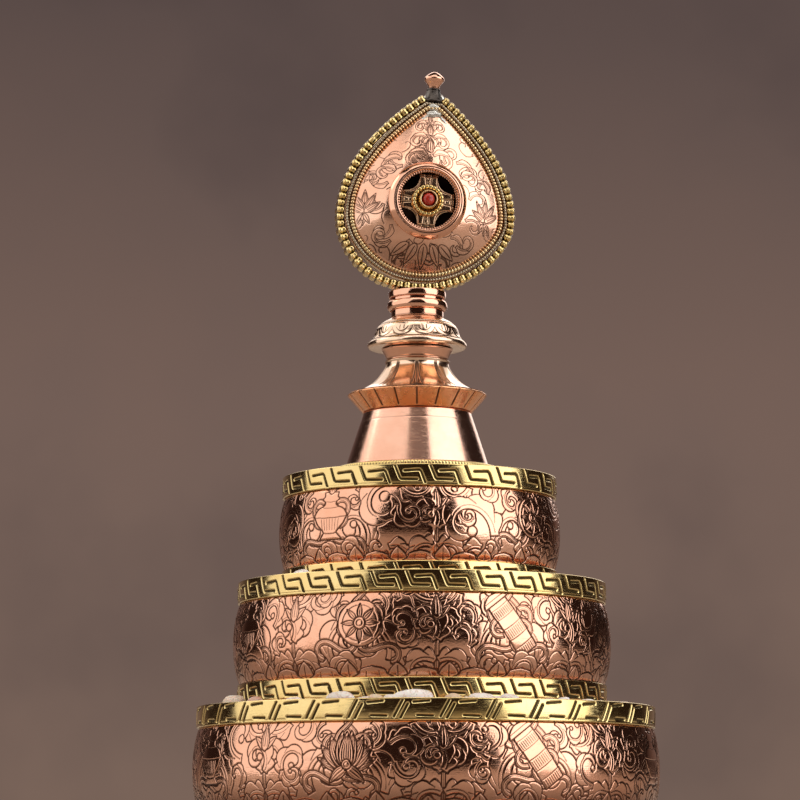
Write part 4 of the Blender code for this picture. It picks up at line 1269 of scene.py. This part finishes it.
def dome_design(flip):
    """Fine hand engraving for the jewel's face, drawn with the medallion at the middle."""
    sh = Plane(-36, 14, 72, 84)
    r = np.random.default_rng(61)
    cx, cy = 36 + flip * MED_X, MED_UP - 14

    def c(x, y, a, L, hand, w=0.9, turn=1.15, lobes=3, ln=0.26):
        curl(sh, cx + flip * x, cy + y, math.radians(a if flip > 0 else 180 - a), L, hand * flip, w * 0.95, turn * 0.72, 2, ln, 0.8, ball=False)

    def lf(x, y, a, L, w, veins=1):
        leaf(sh, cx + flip * x, cy + y, math.radians(a if flip > 0 else 180 - a), L, w, 0, veins, 0.26, 0.8)

    # scrolls round the medallion and up to the apex
    for a in range(0, 360, 30):
        t = math.radians(a + 8)
        rr = 15.6
        c(rr * math.cos(t), rr * math.sin(t), a + 8 + 60, 13, -1, 1.1, 1.35, 3)
    for y, s in ((19, 1.0), (26, 0.8), (31.5, 0.55)):
        for m in (-1, 1):
            c(m * 1.2, y - 2, 90 - m * 50, 15 * s, m * -1, 1.2 * s, 1.35, 4)
            c(m * 1.2, y + 1, 90 - m * 15, 12 * s, m, 1.0 * s, 1.3, 3)
        lf(0, y - 1, 90, 6 * s, 3 * s, 3)
    # flowers at the two sides
    for m in (-1, 1):
        x0 = m * 22.0
        for da, L in ((0, 8.5), (28, 7.8), (-28, 7.8), (56, 6.4), (-56, 6.4)):
            lf(x0, -5.0, 90 + da, L, 2.7, 3)
        for da in (150, 180, 210):
            lf(x0, -5.5, 90 + da, 4.4, 1.7, 1)
        c(x0 + m * 0.5, -8, 90 - m * 160, 13, m, 1.0, 1.3, 3)
        c(x0 - m * 2.5, 5, 90 + m * 30, 12, -m, 1.0, 1.3, 3)
        c(x0 + m * 1.0, 6, 90 - m * 5, 12, m, 1.0, 1.3, 3)
        c(m * 10, 15.5, 90 - m * 70, 15, m * -1, 1.1, 1.2, 3)
        c(m * 12, 10.5, 90 - m * 40, 12, m * -1, 1.0, 1.2, 3)
        c(m * 12, -15, 90 - m * 130, 13, m, 1.1, 1.3, 4)
        c(m * 7, -19, 90 - m * 100, 11, -m, 0.9, 1.3, 3)
    # petals that fan out at the bottom
    for k in range(-2, 3):
        lf(k * 2.8, -15.4, -90 + k * 26, 8.6 - abs(k) * 0.6, 3.4, 1)
    for _ in range(500):
        x, y = r.uniform(3, 69), r.uniform(3, 78)
        if sh.free(x, y, 1.5):
            P, _ = path(0, 0, r.uniform(0, TAU), r.uniform(6, 10), lambda t, q=(1 if r.random() < 0.5 else -1): q * (0.15 + 1.1 * t ** 2), 26)
            P = P - (P.min(0) + P.max(0)) / 2 + np.array([x, y])
            sh.stroke(P, 0.26, 0.9)
            sh.M[max(0, int((y - 1.2) / sh.pv)):int((y + 1.2) / sh.pv), max(0, int((x - 1.2) / sh.pu)):int((x + 1.2) / sh.pu)] = 1
    return sh


def shell(face, flip):
    n = 900
    ang, _ = even_angles(n, 7.0)
    ang_r = ang if flip > 0 else ang
    e33, e70 = outline(3.3, ang_r, flip), outline(7.0, ang_r, flip)
    circle = np.stack([flip * MED_X + WINDOW * np.cos(ang_r) * flip, MED_UP + WINDOW * np.sin(ang_r)], -1)
    rows, zz, u = [], [], []
    e63 = outline(6.3, ang_r, flip)
    for k, z in ((0.0, FLANGE), (0.6, FLANGE), (0.9, FLANGE + 0.35), (1.0, FLANGE + 1.0)):
        rows.append(e33 + (e63 - e33) * k)
        zz.append(z)
    ss = np.linspace(0.012, 1, 96)
    for s_ in ss:
        rows.append(e63 + (circle - e63) * s_)
        zz.append(FLANGE + 1.0 + (DOME - 1.0) * (0.76 * math.sin(math.pi / 2 * s_) + 0.24 * s_))
    R = np.array(rows)
    P = np.concatenate([R, np.repeat(np.array(zz)[:, None, None], n, 1)], -1)
    sh = dome_design(flip)
    G, Rf = sh.at(sh.G, P[..., 0], P[..., 1]), sh.at(sh.R, P[..., 0], P[..., 1])
    fade = np.clip((np.arange(len(rows)) - 6) / 4, 0, 1) * np.clip((len(rows) - 14 - np.arange(len(rows))) / 4, 0, 1)
    G, Rf = G * fade[:, None], Rf * fade[:, None]
    # dents of hand raising
    x, y = P[..., 0], P[..., 1]
    r = np.random.default_rng(71)
    dent = np.zeros(x.shape)
    for _ in range(16):
        k = r.normal(size=2) * 0.16
        dent += np.cos(x * k[0] + y * k[1] + r.uniform(0, TAU))
    dent *= 0.022 * fade[:, None]
    P[..., 2] += 0.014 * Rf - 0.085 * G + dent
    b = Build()
    # rows run inwards and angles anticlockwise, so the outer side faces away from the viewer unless turned
    # a darker band in the crease where the dome rises from the flange, beside the milled wire
    crease_dark = np.exp(-((np.arange(len(rows)) - 3.0) / 2.2) ** 2)[:, None] * 0.75
    # painted shade: the dome darkened below the medallion, down to its foot
    low = 0.36 * np.clip((MED_UP - 13.5 - P[..., 1]) / 5.0, 0, 1) * fade[:, None]
    b.grid(P, wrap_u=True, rect=(0, 0.12, 1, 1), ink=np.clip(G * 0.85 + crease_dark + low, 0, 1), flip=False)
    Q = P.copy()[::6]
    Q = np.concatenate([Q, P[-1:]])
    Q[:, :, 2] -= 0.8
    Q[0, :, 2] = FLANGE - 0.8
    b.grid(Q, wrap_u=True, rect=(0, 0, 1, 0.10), ink=np.full(Q.shape[:2], 0.8), flip=True)
    b.grid(np.stack([P[-1], Q[-1]]), wrap_u=True, rect=(0, 0.105, 1, 0.115))
    b.grid(np.stack([Q[0], P[0]]), wrap_u=True, rect=(0, 0.105, 1, 0.115))
    b.make(f"jewel_{face}_dome", COPPER_LIGHT, "jewel", [f"jewel_{face}_shell"], FACE[face])


shell("front", 1.0)
shell("back", -1.0)


def gallery():
    """Cast strip of two-lobed bullet beads."""
    sec = smooth(np.array([(1.4, -4.2), (0.3, -3.4), (0.0, -1.8), (0.2, 0.6), (0.25, 2.5), (0.9, 3.4), (1.7, 3.45), (2.5, 3.3), (3.1, 2.9), (3.3, 1.6),
                           (3.2, -1.8), (2.7, -3.6), (1.4, -4.2)]), 4)[:-1]
    a = np.linspace(math.pi / 2, math.pi / 2 + TAU, 3600)
    p = outline(0.0, a, 1.0, True)
    s = np.concatenate([[0], np.cumsum(np.hypot(*np.diff(p, axis=0).T))])
    keep = ~((np.abs(p[:, 0]) < 4.4) & (p[:, 1] > MED_UP))
    s0, s1 = s[keep].min(), s[keep].max()
    beads = int(round((s1 - s0) / 2.72))
    per = 14
    t = np.linspace(s0, s1, beads * per + 1)
    base = np.stack([np.interp(t, s, p[:, 0]), np.interp(t, s, p[:, 1])], -1)
    d = np.gradient(base, axis=0)
    d /= np.hypot(d[:, 0], d[:, 1])[:, None]
    inw = np.stack([-d[:, 1], d[:, 0]], -1)
    ph = (t - s0) / (s1 - s0) * beads
    k = np.abs(ph % 1 - 0.5) * 2
    r = np.random.default_rng(81)
    jitter = r.uniform(0.86, 1.04, beads + 1)[np.minimum(ph.astype(int), beads)]
    worn = (ph > 8.2) & (ph < 9.9)
    gap = np.where(worn, 0.12, 1.0) * (1 - np.sqrt(np.clip(1 - (k * 0.985) ** 2, 0, 1)))
    mid = np.array([1.5, -0.3])
    P = np.zeros((len(sec), len(t), 3))
    ink = np.zeros(P.shape[:2])
    for i, (ins, z) in enumerate(sec):
        v = np.array([ins, z]) - mid
        front = z > 2.2
        waist = 0.10 * math.exp(-((ins - 1.9) / 0.5) ** 2) if front else 0.0
        f = (1 - (0.55 if ins < 1.5 else 0.22) * gap) * jitter - waist
        ii, zz = mid[0] + v[0] * f, mid[1] + v[1] * (1 - 0.42 * gap) * (0.5 + 0.5 * jitter)
        if front:
            zz = zz - 2.6 * waist
        P[i, :, :2] = base + inw * ii[:, None]
        P[i, :, 2] = zz
        ink[i] = np.clip(gap * 1.6 - 0.35, 0, 1) * 0.95 + (0.22 if 1.6 < ins < 2.3 and front else 0)
    b = Build()
    b.grid(P, wrap_v=True, rect=(0, 0, 1, 0.96), ink=ink, flip=True)
    m = len(sec)
    for col, fl in ((0, False), (len(t) - 1, True)):
        c = P[:, col].mean(0)
        v = np.vstack([P[:, col], c])
        idx = np.array([[j, (j + 1) % m, m] for j in range(m)])
        if fl:
            idx = idx[:, ::-1]
        b.faces(v, idx, np.full((m, 3, 2), 0.98))
    b.make("jewel_gallery_beads", BRASS, "jewel", ["jewel_gallery_strip"], FACE["front"])


gallery()


def ring_wire(name, node, face, flip, inset, rad, pitch, depth, mat, seed):
    n0, L = even_angles(10, inset)
    beads = int(round(L / pitch)) if pitch else 0
    n = beads * 8 if beads else 480
    ang, _ = even_angles(n, inset)
    p = outline(inset, ang, flip)
    r = np.random.default_rng(seed)
    p = p + np.stack([np.convolve(np.tile(r.normal(size=n), 3), np.ones(25) / 25, "same")[n:2 * n] for _ in range(2)], -1) * 0.10
    d = np.roll(p, -1, 0) - np.roll(p, 1, 0)
    d /= np.maximum(np.hypot(d[:, 0], d[:, 1]), 1e-9)[:, None]
    out = np.stack([d[:, 1], -d[:, 0]], -1) * flip
    k = np.abs((np.arange(n) / 8) % 1 - 0.5) * 2 if beads else np.zeros(n)
    scale = 1 - depth * 1.5 * (1 - np.sqrt(np.clip(1 - (k * 0.98) ** 2, 0, 1)))
    m = 14
    P = np.zeros((m, n, 3))
    for i in range(m):
        a = i / m * TAU
        P[i, :, :2] = p + out * (math.cos(a) * rad * scale)[:, None]
        P[i, :, 2] = FLANGE + GAP + rad + math.sin(a) * rad * scale
    b = Build()
    b.grid(P, wrap_u=True, wrap_v=True, ink=np.tile(np.clip(k ** 3 * depth * 3.2, 0, 0.95), (m, 1)), flip=flip < 0)
    b.make(name, mat, "jewel", [node], FACE[face])


for face, flip in (("front", 1.0), ("back", -1.0)):
    ring_wire(f"jewel_plain_wire_{face}_drawn", f"jewel_plain_wire_{face}", face, flip, 3.95, 0.55, 1.05, 0.24, SILVERED, 91)
    ring_wire(f"jewel_milled_wire_{face}_beaded", f"jewel_milled_wire_{face}", face, flip, 5.65, 0.85, 1.22, 0.34, BRASS_AGED, 92)


def coral_mat():
    m = Mat("coral_cabochon")
    c = m.mix(m.ramp(m.noise(500, 4, 0.6), [(0.35, 0.0), (0.7, 1.0)]), (0.36, 0.018, 0.009, 1), (0.50, 0.035, 0.014, 1))
    c = m.mix(m.ramp(m.noise(1700, 2, 0.6), [(0.62, 0.0), (0.75, 0.7)]), c, (0.25, 0.014, 0.008, 1))
    m.link(c, m.b.inputs["Base Color"])
    m.link(m.ramp(m.noise(900, 3, 0.6), [(0.3, 0.16), (0.7, 0.30)]), m.b.inputs["Roughness"])
    m.set(Subsurface_Weight=0.25, Subsurface_Scale=0.001, Coat_Weight=0.2, Coat_Roughness=0.06)
    m.link(m.bump(m.noise(1200, 3, 0.6), 0.12, 0.00008), m.b.inputs["Normal"])
    return m.m


CORAL = coral_mat()


def star_radius(a):
    """Half width of a square drawn in between four blunt tips, as a radius at each angle."""
    t = np.linspace(0, 1, 60)
    A, B, c = np.array([9.5, 3.2]), np.array([3.2, 9.5]), np.array([3.1, 3.1])
    q = ((1 - t) ** 2)[:, None] * A + (2 * t * (1 - t))[:, None] * c + (t ** 2)[:, None] * B
    qa, qr = np.arctan2(q[:, 1], q[:, 0]), np.hypot(q[:, 0], q[:, 1])
    k = a % (math.pi / 2)
    return np.where((k < qa[0]) | (k > qa[-1]), 9.5 / np.maximum(np.cos(np.minimum(k, math.pi / 2 - k)), 0.5), np.interp(k, qa, qr))


for face, flip in (("front", 1.0), ("back", -1.0)):
    C = FACE[face] @ Matrix.Translation((flip * MED_X * MM, MED_UP * MM, SEAT * MM))

    def r_bezel(th, r, z):
        n = 72
        inner = np.clip((11.1 - r) / 0.25, 0, 1) * (z > 1.2)
        g = inner * np.clip(np.cos(th * n) * 1.3, 0, 1)
        groove = line(r - 12.05, 0.4) * (z > 2)
        return -0.22 * g - 0.12 * groove + wobble(th, z, 601, 0.05, (2, 12), 10, 5.0) * (r > 11.5), np.clip(g * 0.9 + groove * 0.6, 0, 1)

    turned(f"medallion_bezel_{face}_rolled", [f"medallion_bezel_{face}"],
           np.vstack([[(10.2, 0.3)], smooth([(14.2, 0.3), (14.15, 0.7), (13.7, 1.5), (13.1, 2.3), (12.5, 2.75), (11.9, 2.85), (11.4, 2.9), (11.15, 2.75)], 5),
                      [(11.1, 2.0), (10.3, 1.9), (10.2, 1.7)]]),
           COPPER, "jewel", 0, 0.16, 620, r_bezel, C)

    # star plate
    nc, nr = 480, 44
    a = np.arange(nc) / nc * TAU
    R = star_radius(a)
    f = np.linspace(0.02, 1.0, nr)
    P = np.zeros((nr, nc, 3))
    P[..., 0], P[..., 1] = f[:, None] * R * np.cos(a), f[:, None] * R * np.sin(a)
    edge = (1 - f)[:, None] * R[None, :]
    h = 0.12 + 0.30 * (1 - np.exp(-edge / 0.5))
    k = (a + math.pi / 4) % (math.pi / 2) - math.pi / 4
    rr = f[:, None] * R
    ve = line((np.abs(k)[None, :] - 0.13) * rr, 0.5) * (rr > 6.0) + line(edge - 0.55, 0.38)
    ve = ve + line(np.sin(rr * 4.2 + 6 * np.abs(k)), 0.5) * (rr > 6.2) * (np.abs(k) < 0.12) * 0.8
    P[..., 2] = h - 0.24 * np.clip(ve, 0, 1)
    b = Build()
    b.grid(P[::-1], wrap_u=True, rect=(0, 0.2, 1, 1), ink=np.clip(ve, 0, 1)[::-1] * 0.8)
    side = np.stack([np.concatenate([P[-1, :, :2], np.full((nc, 1), z)], -1) for z in (-0.7, -0.1)] + [P[-1]])
    b.grid(side, wrap_u=True, rect=(0, 0.1, 1, 0.19))
    under = np.stack([np.concatenate([P[j, :, :2], np.full((nc, 1), -0.7)], -1) for j in (0, nr // 2, nr - 1)])
    b.grid(under, wrap_u=True, rect=(0, 0, 1, 0.09))
    b.make(f"medallion_star_{face}_chased", GILT_COPPER, "jewel", [f"medallion_star_{face}"], C)

    def r_ring(th, r, z):
        k = np.abs(np.cos(th * 22 / 2))
        return -0.42 * (1 - np.sqrt(np.clip(1 - (1 - k) ** 2, 0, 1))) + 0 * r, np.clip(0.95 - 2.0 * k, 0, 1) + 0 * r

    turned(f"medallion_bead_ring_{face}_beaded", [f"medallion_bead_ring_{face}"],
           [(5.0 + 0.82 * math.cos(t), 1.5 + 0.88 * math.sin(t)) for t in np.linspace(-math.pi / 2, 1.5 * math.pi, 20, endpoint=False)],
           BRASS, "jewel", 0, 0.2, 22 * 14, r_ring, C)
    turned(f"coral_cup_{face}_turned", [f"coral_cup_{face}"],
           [(2.7, 0.6), (3.9, 0.6), (3.8, 1.4), (3.5, 2.9), (3.25, 4.0), (3.1, 4.2), (2.85, 4.2), (2.7, 4.0)],
           BRASS_AGED, "jewel", 0, 0.14, 120, lambda th, r, z: (wobble(th, z, 611, 0.04, (2, 9), 8, 3.0) * (z > 1), 0.4 * line(z - 1.0, 0.5) + 0 * th), C)
    turned(f"coral_{face}_polished", [f"coral_{face}"],
           smooth([(2.4, 0.6), (2.38, 2.4), (2.3, 3.4), (2.0, 4.15), (1.4, 4.7), (0.7, 4.95), (0.05, 5.0)], 5),
           CORAL, "jewel", 0, 0.12, 72, lambda th, r, z: (-0.16 * np.cos(th) ** 2 * (z > 1.5), 0 * th + 0 * z), C, closed=False)


# ---- ferrule and knob on the apex ------------------------------------------------------------
turned("tip_ferrule_drawn", ["tip_ferrule"],
       np.vstack([[(0.05, 87.4), (2.0, 87.4)], smooth([(3.9, 87.4), (4.1, 87.9), (3.6, 88.7), (3.15, 89.6), (2.75, 90.6), (2.5, 91.6), (2.4, 92.6)], 6), [(0.05, 92.6)]]),
       IRON, "jewel", 0, 0.15, 120,
       lambda th, r, z: (0.07 * np.cos(th * 6) * (r > 2) - 0.10 * line(z - 91.9, 0.4) * (r > 2), 0.3 * line(z - 91.9, 0.5) * (r > 2) + 0 * th), PIVOT, closed=False)


def r_knob(th, r, z):
    facet = 0.03 * np.abs(np.cos(th * 3 + 0.3)) * np.clip((97.0 - z) / 1.2, 0, 1) * np.clip((z - 93.4) / 1.2, 0, 1)
    return -facet * (r > 1.5), 0.5 * line(z - 93.2, 0.5) + 0 * th


turned("tip_knob_turned", ["tip_knob"],
       np.vstack([[(0.05, 92.9)], smooth([(1.9, 92.9), (2.05, 93.5), (2.5, 94.4), (3.2, 95.3), (3.65, 96.1), (3.6, 96.8), (2.9, 97.6), (1.9, 98.4), (0.9, 99.0), (0.05, 99.2)], 6)]),
       COPPER, "jewel", 0, 0.14, 140, r_knob, PIVOT, closed=False)


def solder(name, spots, seed, matrix):
    """Lumps of bright silver solder run into a joint."""
    b = Build()
    cells = int(math.ceil(math.sqrt(len(spots))))
    for k, (x, y, z, sx, sy, sz, rot) in enumerate(spots):
        r = np.random.default_rng(seed + k)
        v = ICO_V.copy()
        bump = np.zeros(len(v))
        for _ in range(9):
            dirn = r.normal(size=3)
            bump += r.uniform(-0.10, 0.10) * np.cos(v @ dirn * r.uniform(2, 6) + r.uniform(0, TAU))
        w = v * (1 + bump)[:, None] * np.array([sx, sy, sz])
        c, s_ = math.cos(rot), math.sin(rot)
        w = w @ np.array([[c, -s_, 0], [s_, c, 0], [0, 0, 1]]).T + np.array([x, y, z])
        lon = np.arctan2(v[:, 1], v[:, 0]) / TAU + 0.5
        ci, cj = k % cells, k // cells
        uv = np.stack([(ci + 0.04 + 0.92 * lon[ICO_F]) / cells, (cj + 0.04 + 0.92 * (v[:, 2][ICO_F] * 0.5 + 0.5)) / cells], -1)
        b.faces(w, ICO_F, uv)
    return b.make(name, SOLDER, "jewel", (), matrix)


def solder_mat():
    m = Mat("silver_solder")
    m.set(Metallic=1.0)
    c = m.mix(m.ramp(m.noise(600, 5, 0.7), [(0.35, 0.0), (0.65, 1.0)]), (0.86, 0.84, 0.78, 1), (0.45, 0.42, 0.36, 1))
    c = m.mix(m.ramp(m.noise(1500, 3, 0.7), [(0.60, 0.0), (0.68, 1.0)]), c, (0.05, 0.045, 0.04, 1))
    m.link(c, m.b.inputs["Base Color"])
    m.link(m.ramp(m.noise(800, 3, 0.6), [(0.3, 0.22), (0.7, 0.5)]), m.b.inputs["Roughness"])
    m.link(m.bump(m.noise(1300, 4, 0.7), 0.8, 0.00022), m.b.inputs["Normal"])
    return m.m


SOLDER = solder_mat()
for face, flip in (("front", 1.0), ("back", -1.0)):
    solder(f"apex_solder_{face}", [
        (flip * 0.2, 82.3, 4.2, 3.0, 1.4, 0.9, 0.1), (flip * 3.4, 80.4, 3.9, 2.6, 0.8, 0.8, -0.75 * flip),
        (flip * -3.0, 80.6, 3.9, 2.4, 0.8, 0.8, 0.75 * flip), (flip * 0.0, 84.9, 3.4, 2.2, 1.5, 0.9, 0.0),
        (flip * 5.0, 87.7, 0.9, 2.4, 0.8, 1.4, -0.62 * flip), (flip * -4.6, 87.6, 0.9, 1.6, 0.7, 1.3, 0.62 * flip),
        (flip * 3.5, 88.8, 0.9, 0.8, 1.9, 0.9, 0.42 * flip), (flip * -3.3, 88.5, 0.9, 0.7, 1.5, 0.9, -0.38 * flip)], 700, FACE[face])

# ---- CAD nodes that stay -------------------------------------------------------------------------
def dress(node, mat):
    ob = bpy.data.objects[node]
    ob.data.materials.clear()
    ob.data.materials.append(mat)


dress("jewel_rim_core", BRASS_AGED)
dress("jewel_plug", SILVERED)

# =====================================================================================
# camera, light, floor
# =====================================================================================
cam_data = bpy.data.cameras.new("camera")
cam_data.sensor_width = 36
cam_data.lens = 138.6
cam_data.clip_start = 0.05
cam_data.clip_end = 50
cam = bpy.data.objects.new("camera", cam_data)
bpy.context.scene.collection.objects.link(cam)
cam.location = (-0.0072, -1.100, 0.0372)
cam.rotation_euler = (math.radians(98.17), 0, 0)
bpy.context.scene.camera = cam


def area(name, az, el, dist, sx, sy, power, colour=(1, 1, 1), target=(0, 0, 0.17)):
    """Soft box. az is from the camera's direction towards +X, el above the level, in degrees."""
    li = bpy.data.lights.new(name, "AREA")
    li.shape = "RECTANGLE"
    li.size, li.size_y = sx, sy
    li.energy = power
    li.color = colour
    ob = bpy.data.objects.new(name, li)
    bpy.context.scene.collection.objects.link(ob)
    a, e = math.radians(az), math.radians(el)
    t = Vector(target)
    p = t + Vector((math.sin(a) * math.cos(e), -math.cos(a) * math.cos(e), math.sin(e))) * dist
    ob.location = p
    ob.rotation_euler = (t - p).to_track_quat("-Z", "Y").to_euler()
    ob.visible_camera = False
    return ob


area("softbox_left", -72, 29, 1.5, 2.4, 2.1, 18, (1.0, 0.95, 0.90))
area("softbox_right", 61, 27, 1.6, 1.65, 2.0, 22, (1.0, 0.99, 0.98))
area("softbox_front_high", 2, 65, 1.7, 1.15, 0.70, 3.7, (1.0, 0.96, 0.91))
area("front_fill", -4, 41, 1.7, 0.9, 0.40, 0.26, (1.0, 0.92, 0.86))
area("top_light", 20, 86, 1.6, 1.0, 0.9, 3.5, (1.0, 0.97, 0.93))
area("softbox_back", 168, 28, 1.8, 1.2, 1.2, 6, (1.0, 0.95, 0.90))
area("softbox_left_rim", -114, 42, 1.5, 0.8, 0.55, 1.7, (1.0, 0.95, 0.90))
area("floor_wash", 0, 90, 2.4, 5.0, 4.0, 60, (1.0, 0.93, 0.86), (0, 3.8, 0))
for side, spot in (("left", (-3.9, 0, 0)), ("right", (4.2, 0, 0)), ("front", (0, -4.4, 0))):
    wash = area("floor_wash_" + side, 0, 90, 2.4, 4.6, 5.0, 36, (1.0, 0.93, 0.86), spot)
    wash.visible_glossy = False

world = bpy.data.worlds.new("studio")
bpy.context.scene.world = world
world.use_nodes = True
wt = world.node_tree
bg = wt.nodes["Background"]
tc = wt.nodes.new("ShaderNodeTexCoord")
sep = wt.nodes.new("ShaderNodeSeparateXYZ")
wt.links.new(tc.outputs["Generated"], sep.inputs[0])


def world_ramp(sock, stops):
    n = wt.nodes.new("ShaderNodeValToRGB")
    while len(n.color_ramp.elements) < len(stops):
        n.color_ramp.elements.new(0.5)
    for e, (p, c) in zip(n.color_ramp.elements, stops):
        e.position, e.color = p, c
    wt.links.new(sock, n.inputs[0])
    return n.outputs[0]


# taupe cloth behind, lighter low down, and a dark room elsewhere
wall = world_ramp(sep.outputs["Z"], [(0.0, srgb(120, 99, 88)), (0.14, srgb(113, 93, 85)), (0.28, srgb(86, 72, 69))])
away = world_ramp(sep.outputs["Y"], [(0.72, (0, 0, 0, 1)), (0.95, (1, 1, 1, 1))])
mott = wt.nodes.new("ShaderNodeTexNoise")
mott.inputs["Scale"].default_value = 9.0
mott.inputs["Detail"].default_value = 4.0
wt.links.new(tc.outputs["Generated"], mott.inputs["Vector"])
cloth = wt.nodes.new("ShaderNodeMix")
cloth.data_type = "RGBA"
cloth.blend_type = "MULTIPLY"
cloth.inputs[0].default_value = 1.0
wt.links.new(wall, cloth.inputs[6])
wt.links.new(world_ramp(mott.outputs["Fac"], [(0.36, (0.84, 0.85, 0.88, 1)), (0.52, (1.02, 1.02, 1.02, 1)), (0.66, (1.08, 1.06, 1.04, 1))]), cloth.inputs[7])
wall = cloth.outputs[2]
mixw = wt.nodes.new("ShaderNodeMix")
mixw.data_type = "RGBA"
wt.links.new(away, mixw.inputs[0])
mixw.inputs[6].default_value = srgb(37, 26, 22)
wt.links.new(wall, mixw.inputs[7])
wt.links.new(mixw.outputs[2], bg.inputs["Color"])
bg.inputs["Strength"].default_value = 1.0
bpy.context.scene.view_settings.view_transform = "Standard"

me_floor = Mat("pale_floor")
me_floor.set(Roughness=0.75)
c = me_floor.mix(me_floor.noise(3.0, 3, 0.5), srgb(152, 139, 126), srgb(162, 150, 138))
me_floor.link(c, me_floor.b.inputs["Base Color"])


def stage_plane():
    me = bpy.data.meshes.new("floor")
    me.from_pydata([(-6, -6, 0), (6, -6, 0), (6, 6, 0), (-6, 6, 0)], [], [(0, 1, 2, 3)])
    me.materials.append(me_floor.m)
    ob = bpy.data.objects.new("floor", me)
    bpy.context.scene.collection.objects.link(ob)


stage_plane()
